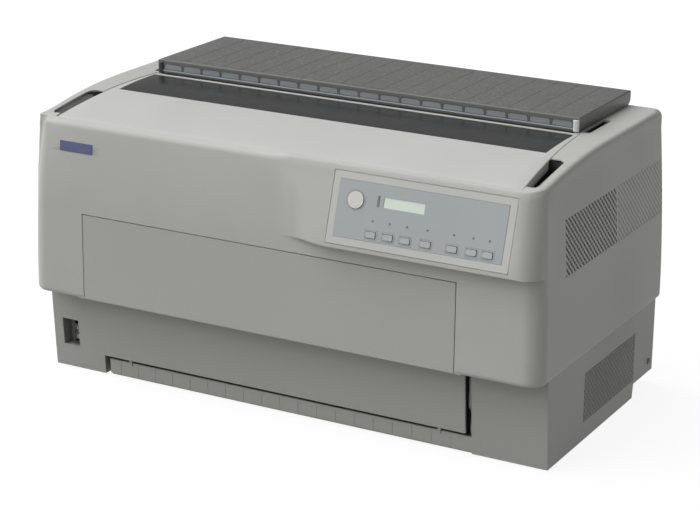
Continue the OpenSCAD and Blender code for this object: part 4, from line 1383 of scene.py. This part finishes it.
def hatch(name: str, field: tuple[Flat, Flat], pitch: float, width: float, depth: Flat,
          rising: bool = False) -> Piece:
    """Slanted bars over a field on both sides.

    Args:
        name: Name of the solid.
        field: The field's ranges in depth and height.
        pitch: Distance between two bars along the depth.
        width: Width of a bar, square to its length.
        depth: The bars' inner and outer distance from the middle.
        rising: Whether they rise towards the back.

    Returns:
        The bars as one object.
    """
    (front, back), (low, high) = field
    bars = []
    start = front - (high - low)
    while start < back:
        outline = slot_outline(start, width * math.sqrt(2), *field)
        if rising:
            outline = [(y, low + high - z) for y, z in outline]
        if len(outline) > 2:
            bars += [prism("bar", outline, *ends(side, *depth), axis=0) for side in Side]
        start += pitch
    return joined(name, bars)


def slot_outline(start: float, width: float, field_y: Flat, field_z: Flat) -> list[Flat]:
    """Outline of one slot that runs down to the back at 45 degrees, cut to its field.

    Args:
        start: Depth of its front upper corner.
        width: Its width along the depth.
        field_y: Depths of the field.
        field_z: Heights of the field.

    Returns:
        Corners in Y and Z, or too few where the slot misses the field.
    """
    low, high = field_z
    reach = high - low
    corners = [(start, high), (start + width, high), (start + width + reach, low), (start + reach, low)]
    for limit, sign in ((field_y[0], 1), (field_y[1], -1)):
        kept: list[Flat] = []
        for (y0, z0), (y1, z1) in zip(corners, corners[1:] + corners[:1]):
            inside0, inside1 = sign * (y0 - limit) >= 0, sign * (y1 - limit) >= 0
            if inside0:
                kept.append((y0, z0))
            if inside0 != inside1:
                share = (limit - y0) / (y1 - y0)
                kept.append((limit, z0 + (z1 - z0) * share))
        corners = kept
        if len(corners) < 3:
            return []
    return corners


@dataclass
class PrinterCover:
    """The hinged top cover with its smoked window."""

    machine: Machine
    front: float = -166.0
    back: float = 30.0
    front_half: float = 314.0
    back_half: float = 298.0
    rim: float = 12.0
    thick: float = 3.0
    edge: float = 1.4
    window: tuple[Flat, Flat] = ((-294.5, 294.5), (-60.0, 22.5))
    window_ledge: float = 6.0
    window_hole: Flat = (300.0, 390.0)
    window_seat: float = 2.0
    seat_top: float = 400.0
    seat_steps: int = 10
    pane_gap: float = 0.4
    pane_drop: float = 0.25
    pane_rim: float = 1.8
    pane_thick: float = 1.7
    pane_edge: float = 0.4
    pane_faces: tuple[int, int] = (30, 12)
    axis: Flat = (27.5, 355.5)
    lug: Block = Block("lug", (292, 297.5), (24, 29.5), (351.5, 357))
    pin_radius: float = 1.6
    pin_ends: Flat = (296.0, 305.0)

    def build(self) -> None:
        """Makes the lid, its window and its hinge pins."""
        top = self.machine.form.top
        lid = Lofted("cover_lid", self.front, self.back, self.front_half, self.back_half,
                     lambda x, y: top(y), self.rim, self.thick, self.edge).build()
        (left, right), (near, far) = self.window
        ledge = self.window_ledge
        across, along = (left + ledge, right - ledge), (near + ledge, far - ledge)
        hole = brick("window_hole", across, along, self.window_hole)
        cut(lid, self.seat(), hole)
        self.machine.fit(lid, "cover", "cover_grey", "printer_cover")
        pins = [rod("pin", self.pin_radius, ends(side, *self.pin_ends), self.axis) for side in Side]
        self.machine.fit(joined("cover_hinge", self.lug.pair() + pins), "cover", "cover_grey")
        half = right - self.pane_gap
        pane = Lofted("window_pane", near + self.pane_gap, far - self.pane_gap, half, half,
                      lambda x, y: top(y) - self.pane_drop, self.pane_rim, self.pane_thick, self.pane_edge)
        self.machine.fit(pane.build(*self.pane_faces), "cover", "smoked_window", "cover_window")

    def seat(self) -> Piece:
        """Solid from the window's seat upwards.

        Returns:
            The solid.
        """
        sides, (near, far) = self.window
        depths = [near + (far - near) * k / self.seat_steps for k in range(self.seat_steps + 1)]
        outline = [(y, self.machine.form.top_at(y) - self.window_seat) for y in depths]
        return prism("window_seat", [*outline, (far, self.seat_top), (near, self.seat_top)], *sides, axis=0)


@dataclass
class PaperGuide:
    """The raised dark guide over the rear opening, with its row of front fields."""

    machine: Machine
    front: float = 33.0
    back: float = 195.0
    half: float = 296.0
    foot: float = 359.3
    top: float = 377.0
    thick: float = 2.5
    edge: float = 1.8
    faces: tuple[int, int] = (20, 8)
    axis: Flat = (187.0, 368.0)
    clear: float = 5.0
    pin_radius: float = 2.5
    pin_ends: Flat = (284.5, 295.0)
    notch: Block = Block("post_notch", (283, 293), (181, 197), (357.3, 373.3))
    fields: int = 20
    field_end: float = 8.0
    field_gap: float = 1.5
    field_below: float = 5.4
    field_height: float = 7.4
    field_arch: tuple[Flat, ...] = ((0.0, 2.2), (0.8, 0.8), (3.0, 0.0))
    seat: tuple[str, float, float, float] = ("seat", 0.0, -1.0, 1.2)
    plate: tuple[str, float, float, float] = ("plate", 0.25, 0.25, 1.4)
    flute_ends: Flat = (6.0, 8.0)
    flute_half: float = 0.5
    flute_depth: float = 0.12
    rail: Block = Block("guide_rail", (-290, 290), (32, 33.6), (361.9, 363.7))
    rail_edge: float = 0.7
    stop_middle: Flat = (291.8, 33.4)
    stop_size: Flat = (4.0, 2.7)
    stop_sides: int = 18
    stop_heights: Flat = (359.7, 374.0)
    stop_edge: float = 0.8

    def build(self) -> None:
        """Makes the guide, its fields, its rail and its end pieces."""
        body = Lofted("guide_body", self.front, self.back, self.half, self.half,
                      lambda x, y: np.full_like(np.asarray(x, float), self.top),
                      self.top - self.foot, self.thick, self.edge)
        shell = body.build(*self.faces)
        cut(shell, self.clearance())
        cut(shell, joined("flutes", [self.flute(k) for k in range(1, self.fields)]))
        cut(shell, joined("seats", [self.field(k, *self.seat) for k in range(self.fields)]))
        cut(shell, joined("post_notches", self.notch.pair()))
        self.machine.fit(shell, "guide", "guide_dark", "paper_guide")
        # Painted reflection: the field plates are lighter than the dark guide, as the recessed face reflects
        # light.
        plates = joined("guide_fields", [self.field(k, *self.plate) for k in range(self.fields)])
        self.machine.fit(plates, "guide", "guide_dark", finish="field_reflection_grey")
        rail = soften(self.rail.single(), self.rail_edge)
        self.machine.fit(rail, "guide", "guide_dark", finish="rail_pale")
        for side, name, finish in ((Side.RIGHT, "guide_end_right", "clip_pale"),
                                   (Side.LEFT, "guide_end_left", "black_plastic")):
            self.machine.fit(self.end_stop(side, name), "guide", "guide_dark", finish=finish)
        pins = [rod("pin", self.pin_radius, ends(side, *self.pin_ends), self.axis) for side in Side]
        self.machine.fit(joined("guide_pins", pins), "guide", "guide_dark")

    def clearance(self) -> Piece:
        """Solid outside the round under its rear edge, which lets it turn about its axis.

        Returns:
            The solid.
        """
        y, z = self.axis
        radius = self.back - y
        low, far, wide = self.foot - self.clear, self.back + self.clear, self.half + self.clear
        turn = [math.radians(a) for a in range(0, -91, -10)]
        arc = [(y + radius * math.cos(a), z + radius * math.sin(a)) for a in turn]
        return prism("clearance", [*arc, (y, low), (far, low), (far, z)], -wide, wide, axis=0)

    def pitch(self) -> float:
        """Distance between two fields."""
        return 2 * (self.half - self.field_end) / self.fields

    def field(self, k: int, name: str, shrink: float, near: float, far: float) -> Piece:
        """One field of the front edge, with an arched top.

        Args:
            k: Its number from the left.
            name: Name of the solid.
            shrink: How much smaller it is all round.
            near: Its near face, counted from the guide's front.
            far: Its far face, counted likewise.

        Returns:
            The solid.
        """
        left = -self.half + self.field_end + k * self.pitch() + self.field_gap + shrink
        right = left + self.pitch() - 2 * self.field_gap - 2 * shrink
        high = self.top - self.field_below - shrink
        low = high + 2 * shrink - self.field_height
        outline = [(left, low), (right, low), *((right - a, high - b) for a, b in self.field_arch),
                   *((left + a, high - b) for a, b in reversed(self.field_arch))]
        return prism(name, outline, self.front + near, self.front + far, axis=1)

    def flute(self, k: int) -> Piece:
        """Shallow groove across the top, from a gap between two fields to the back.

        Args:
            k: Its number from the left.

        Returns:
            The solid.
        """
        x = -self.half + self.field_end + k * self.pitch()
        across = (x - self.flute_half, x + self.flute_half)
        depths = (self.front + self.flute_ends[0], self.back - self.flute_ends[1])
        return brick("flute", across, depths, (self.top - self.flute_depth, self.top + 2))

    def end_stop(self, side: Side, name: str) -> Piece:
        """Rounded stop at one end of the front edge.

        Args:
            side: The side of the machine.
            name: Name of the piece.

        Returns:
            The piece.
        """
        x, y = self.stop_middle
        outline = oval(self.stop_sides, (side.value * x, y), *self.stop_size)
        return soften(prism(name, outline, *self.stop_heights), self.stop_edge, 2, ROUND_CREASE)


@dataclass
class ControlPanel:
    """What lies on the control panel's slope: plate, film, display, keys and lamps."""

    machine: Machine
    keys: tuple[float, ...] = (140, 162, 184, 210, 243, 267, 287)
    key_row: float = 20.0
    key_frame: Flat = (7.4, 5.0)
    lamp_row: float = 36.0
    lamp_radius: float = 1.4
    lamp_ends: Flat = (-0.3, 0.55)
    lamp_dome: tuple[Flat, ...] = ((1.0, 0.25), (0.85, 0.06), (0.5, 0.0))
    lamp_sides: int = 20
    mark: tuple[Flat, Flat, Flat] = ((142.2, 145.4), (53, 66), (-0.3, 0.5))
    mark_edge: float = 0.3
    edge: float = 0.5
    button: Flat = (115.0, 57.0)
    ring_radii: Flat = (11.2, 12.6)
    ring_sides: int = 48
    line: float = 1.0
    print_levels: Flat = (0.12, 0.2)

    def build(self, nodes: dict[str, Piece]) -> None:
        """Dresses the solids and adds lamps, key surrounds and the display's mark.

        Args:
            nodes: The solids by name.
        """
        for name in ("panel_bezel", "pause_button", *(f"key_{k + 1}" for k in range(len(self.keys)))):
            soften(nodes[name], self.edge, 2)
        lamps = joined("panel_lamps", [self.lamp(x) for x in self.keys])
        self.machine.fit(lamps, "machine", "display_green", finish="lamp_dark")
        mark = soften(self.machine.panel_brick("display_mark", *self.mark), self.mark_edge, 2)
        self.machine.fit(mark, "machine", "display_green", finish="lamp_dark")
        frames = [*(self.surround(x) for x in self.keys), self.ring()]
        self.machine.fit(joined("panel_print", frames), "machine", "panel_film", finish="print_grey")

    def raised(self, loops: Iterable[tuple[Sequence[Flat], float]]) -> list[Vector]:
        """Points on the slope from loops of corners, each with its height above the slope."""
        return [self.machine.on_panel(x, v, w) for loop, w in loops for x, v in loop]

    def lamp(self, x: float) -> Piece:
        """Low round lens.

        Args:
            x: Its place across.

        Returns:
            The piece.
        """
        low, high = self.lamp_ends
        levels = [(1.0, low), *((share, high - drop) for share, drop in self.lamp_dome)]
        radii = [(share * self.lamp_radius, level) for share, level in levels]
        points = self.raised((oval(self.lamp_sides, (x, self.lamp_row), r, r), w) for r, w in radii)
        faces = loop_faces(self.lamp_sides, len(levels), False)
        faces += [tuple(range(self.lamp_sides)), tuple(range(len(points) - self.lamp_sides, len(points)))]
        return make_object("lamp", points, faces, ROUND_CREASE)

    def band(self, name: str, inner: Sequence[Flat], outer: Sequence[Flat], crease: float) -> Piece:
        """Thin printed band between two loops on the slope.

        Args:
            name: Name of the piece.
            inner: Corners of its inner edge.
            outer: Corners of its outer edge.
            crease: Angle in degrees above which an edge stays sharp.

        Returns:
            The piece.
        """
        low, high = self.print_levels
        points = self.raised(((inner, low), (inner, high), (outer, high), (outer, low)))
        return make_object(name, points, loop_faces(len(inner), 4), crease)

    def ring(self) -> Piece:
        """Printed ring round the large button."""
        inner, outer = (oval(self.ring_sides, self.button, r, r) for r in self.ring_radii)
        return self.band("pause_ring", inner, outer, ROUND_CREASE)

    def surround(self, x: float) -> Piece:
        """Printed frame round a key.

        Args:
            x: The key's place across.

        Returns:
            The piece.
        """
        wide, high = self.key_frame
        corners = ((-1, -1), (1, -1), (1, 1), (-1, 1))
        inner, outer = ([(x + a * (wide + grow), self.key_row + b * (high + grow)) for a, b in corners]
                        for grow in (0.0, self.line))
        return self.band("surround", inner, outer, CREASE)


@dataclass
class Base:
    """What dresses the base: lattice behind its vents in a darker grey with dark plates behind it, both
    painted shade, and the marks on the power switch.
    """

    machine: Machine
    vent_field: tuple[Flat, Flat] = ((-36.0, 124.0), (25.0, 88.0))
    bar_pitch: float = 8.4
    bar_width: float = 4.5
    bar_depths: Flat = (343.4, 346.15)
    back: Block = Block("back", (337, 338.5), (-39, 127), (22, 91))
    stroke: Block = Block("stroke", (-314.8, -313.7), (-136.5, -135.8), (53.5, 57.5))
    ring_middle: Flat = (-314.25, 43.4)
    ring_radii: Flat = (1.9, 1.3)
    ring_depths: Flat = (-135.2, -134.2)
    ring_sides: int = 24

    def build(self) -> None:
        """Makes the lattice and the marks."""
        lattice = hatch("vent_lattice", self.vent_field, self.bar_pitch, self.bar_width, self.bar_depths,
                        rising=True)
        # Painted shade: the lattice is a darker copy of the base grey.
        self.machine.fit(lattice, "machine", "base_grey", finish="bar_shade_grey")
        # Painted shade: dark plates behind the lattice stand in for the shade inside.
        backs = joined("lattice_shade_plates", self.back.pair())
        self.machine.fit(backs, "machine", "base_grey", finish="vent_shade_grey")
        marks = joined("switch_marks", [self.stroke.single(), self.ring()])
        self.machine.fit(marks, "rocker", "black_plastic", finish="mark_white")

    def ring(self) -> Piece:
        """Ring on the lower half of the rocker.

        Returns:
            The piece.
        """
        outer, inner = (oval(self.ring_sides, self.ring_middle, r, r) for r in self.ring_radii)
        near, far = self.ring_depths
        points = [(x, y, z) for loop, y in ((outer, near), (outer, far), (inner, far), (inner, near))
                  for x, z in loop]
        return make_object("ring", points, loop_faces(self.ring_sides, 4))


@dataclass
class Solids:
    """The solids that keep their shape: they get their finish and, where they show, rounded edges."""

    machine: Machine
    rounded: tuple[tuple[str, float], ...] = (
        ("front_door", 0.9), ("lower_front_panel", 0.8), ("rear_cover", 0.8), ("badge_plate", 0.4),
        ("power_rocker", 0.5), ("rubber_feet", 0.5), ("power_inlet", 0.4), ("switch_housing", 0.4))
    # Painted light: the bezel takes a lighter copy of the casing grey, as its slope faces up.
    variants: tuple[tuple[str, str], ...] = (("case_screws", "screw_dull"), ("panel_bezel", "bezel_lit_grey"))

    def build(self, nodes: dict[str, Piece], record: dict) -> None:
        """Dresses every solid.

        Args:
            nodes: The solids by name.
            record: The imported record, which names each solid's slot.
        """
        finishes = {part["node"]: part["material_slot"] for part in record["subparts"]}
        finishes.update(self.variants)
        for name, node in nodes.items():
            node.data.materials.clear()
            node.data.materials.append(self.machine.materials[finishes[name]])
        for name, radius in self.rounded:
            soften(nodes[name], radius, 3)


@dataclass(frozen=True)
class Studio:
    """The pale floor, the soft light and the camera.

    Attributes:
        eye: Place of the camera in millimetres.
        aim: The point it looks at.
        sensor: Width of its sensor in millimetres.
        lens: Its focal length in millimetres.
        roll: How far it is turned about its view, in degrees.
        view_end: How far it sees, in metres.
        sky: Strength of the sky on the machine.
        lamps: Name, strength, angle in degrees and direction of each far lamp.
        floor_half: Half the floor's width in metres.
        floor_real: Tone of the floor as it lights the machine.
        floor_seen: Tone of the floor as the camera sees it.
        floor_glow: Glow that the camera sees with it.
        floor_rough: Roughness of the floor.
    """

    eye: Point = (1248.4, -2289.5, 1018.5)
    aim: Point = (0.0, 15.7, 162.4)
    sensor: float = 36.0
    lens: float = 112.37
    roll: float = 0.71
    view_end: float = 50.0
    sky: float = 0.26
    lamps: tuple[tuple[str, float, float, Point], ...] = (
        ("key", 2.8, 75.0, (-0.59, -0.21, 0.78)), ("fill", 0.5, 60.0, (-0.25, -0.93, 0.25)))
    floor_half: float = 12.0
    floor_real: float = 0.2
    floor_seen: float = 0.14
    floor_glow: float = 0.89
    floor_rough: float = 0.9

    def build(self) -> None:
        """Makes the camera, the lamps, the sky and the floor."""
        self.camera()
        for lamp in self.lamps:
            self.lamp(*lamp)
        self.world()
        self.floor()
        bpy.context.scene.view_settings.view_transform = "Standard"

    def camera(self) -> None:
        """Camera where the photograph was taken from."""
        data = bpy.data.cameras.new("camera")
        data.sensor_width = self.sensor
        data.lens = self.lens
        data.clip_end = self.view_end
        camera = bpy.data.objects.new("camera", data)
        bpy.context.scene.collection.objects.link(camera)
        eye, aim = Vector(self.eye) * MM, Vector(self.aim) * MM
        turn = (aim - eye).to_track_quat("-Z", "Y").to_matrix().to_4x4()
        roll = Matrix.Rotation(math.radians(self.roll), 4, "Z")
        camera.matrix_world = Matrix.Translation(eye) @ turn @ roll
        bpy.context.scene.camera = camera

    def lamp(self, name: str, strength: float, angle: float, way: Point) -> None:
        """Adds a far lamp.

        Args:
            name: Name of the lamp.
            strength: Its strength.
            angle: How wide it looks, in degrees.
            way: Direction towards it.
        """
        data = bpy.data.lights.new(name, "SUN")
        data.energy = strength
        data.angle = math.radians(angle)
        lamp = bpy.data.objects.new(name, data)
        lamp.rotation_mode = "QUATERNION"
        lamp.rotation_quaternion = Vector(way).to_track_quat("Z", "Y")
        bpy.context.scene.collection.objects.link(lamp)

    def world(self) -> None:
        """Even sky, which the camera sees as white, also through glass."""
        world = bpy.data.worlds.new("sky")
        world.use_nodes = True
        graph = Graph(world.node_tree)
        path = graph.add("LightPath")
        seen = graph.math(Blend.MAXIMUM, path.outputs["Is Camera Ray"], path.outputs["Is Transmission Ray"])
        strength = graph.spread(seen, 0, 1, self.sky, 1.0)
        sky = graph.add("Background", Color=(1, 1, 1, 1), Strength=strength)
        graph.feed(graph.add("OutputWorld"), Surface=sky.outputs[0])
        bpy.context.scene.world = world

    def floor(self) -> None:
        """Pale floor that is white to the camera apart from the machine's shadow."""
        size = self.floor_half
        corners = [(-size, -size, 0), (size, -size, 0), (size, size, 0), (-size, size, 0)]
        mesh = bpy.data.meshes.new("floor")
        mesh.from_pydata(corners, [], [(0, 1, 2, 3)])
        floor = bpy.data.objects.new("floor", mesh)
        bpy.context.scene.collection.objects.link(floor)
        material = bpy.data.materials.new("floor")
        material.use_nodes = True
        graph = Graph(material.node_tree)
        path = graph.add("LightPath")
        seen = graph.math(Blend.MAXIMUM, path.outputs["Is Camera Ray"], path.outputs["Is Glossy Ray"])
        colour = graph.tint(seen, (self.floor_real,) * 3, (self.floor_seen,) * 3)
        shader = graph.add("BsdfPrincipled", Base_Color=colour, Roughness=self.floor_rough)
        glow = graph.math(Blend.MULTIPLY, seen, self.floor_glow)
        shader.inputs["Emission Color"].default_value = (1, 1, 1, 1)
        graph.feed(shader, Emission_Strength=glow)
        graph.feed(graph.add("OutputMaterial"), Surface=shader.outputs[0])
        mesh.materials.append(material)


def main() -> None:
    """Builds the machine's looks and its studio."""
    logging.basicConfig(level=logging.INFO, format="%(name)s: %(message)s")
    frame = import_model()
    machine = Machine(Finishes(Effects()).build(), CasingForm())
    Studio().build()
    Solids(machine).build(frame["nodes"], frame["record"])
    UpperCasing(machine).build()
    PrinterCover(machine).build()
    PaperGuide(machine).build()
    ControlPanel(machine).build(frame["nodes"])
    Base(machine).build()


if __name__ == "__main__":
    main()
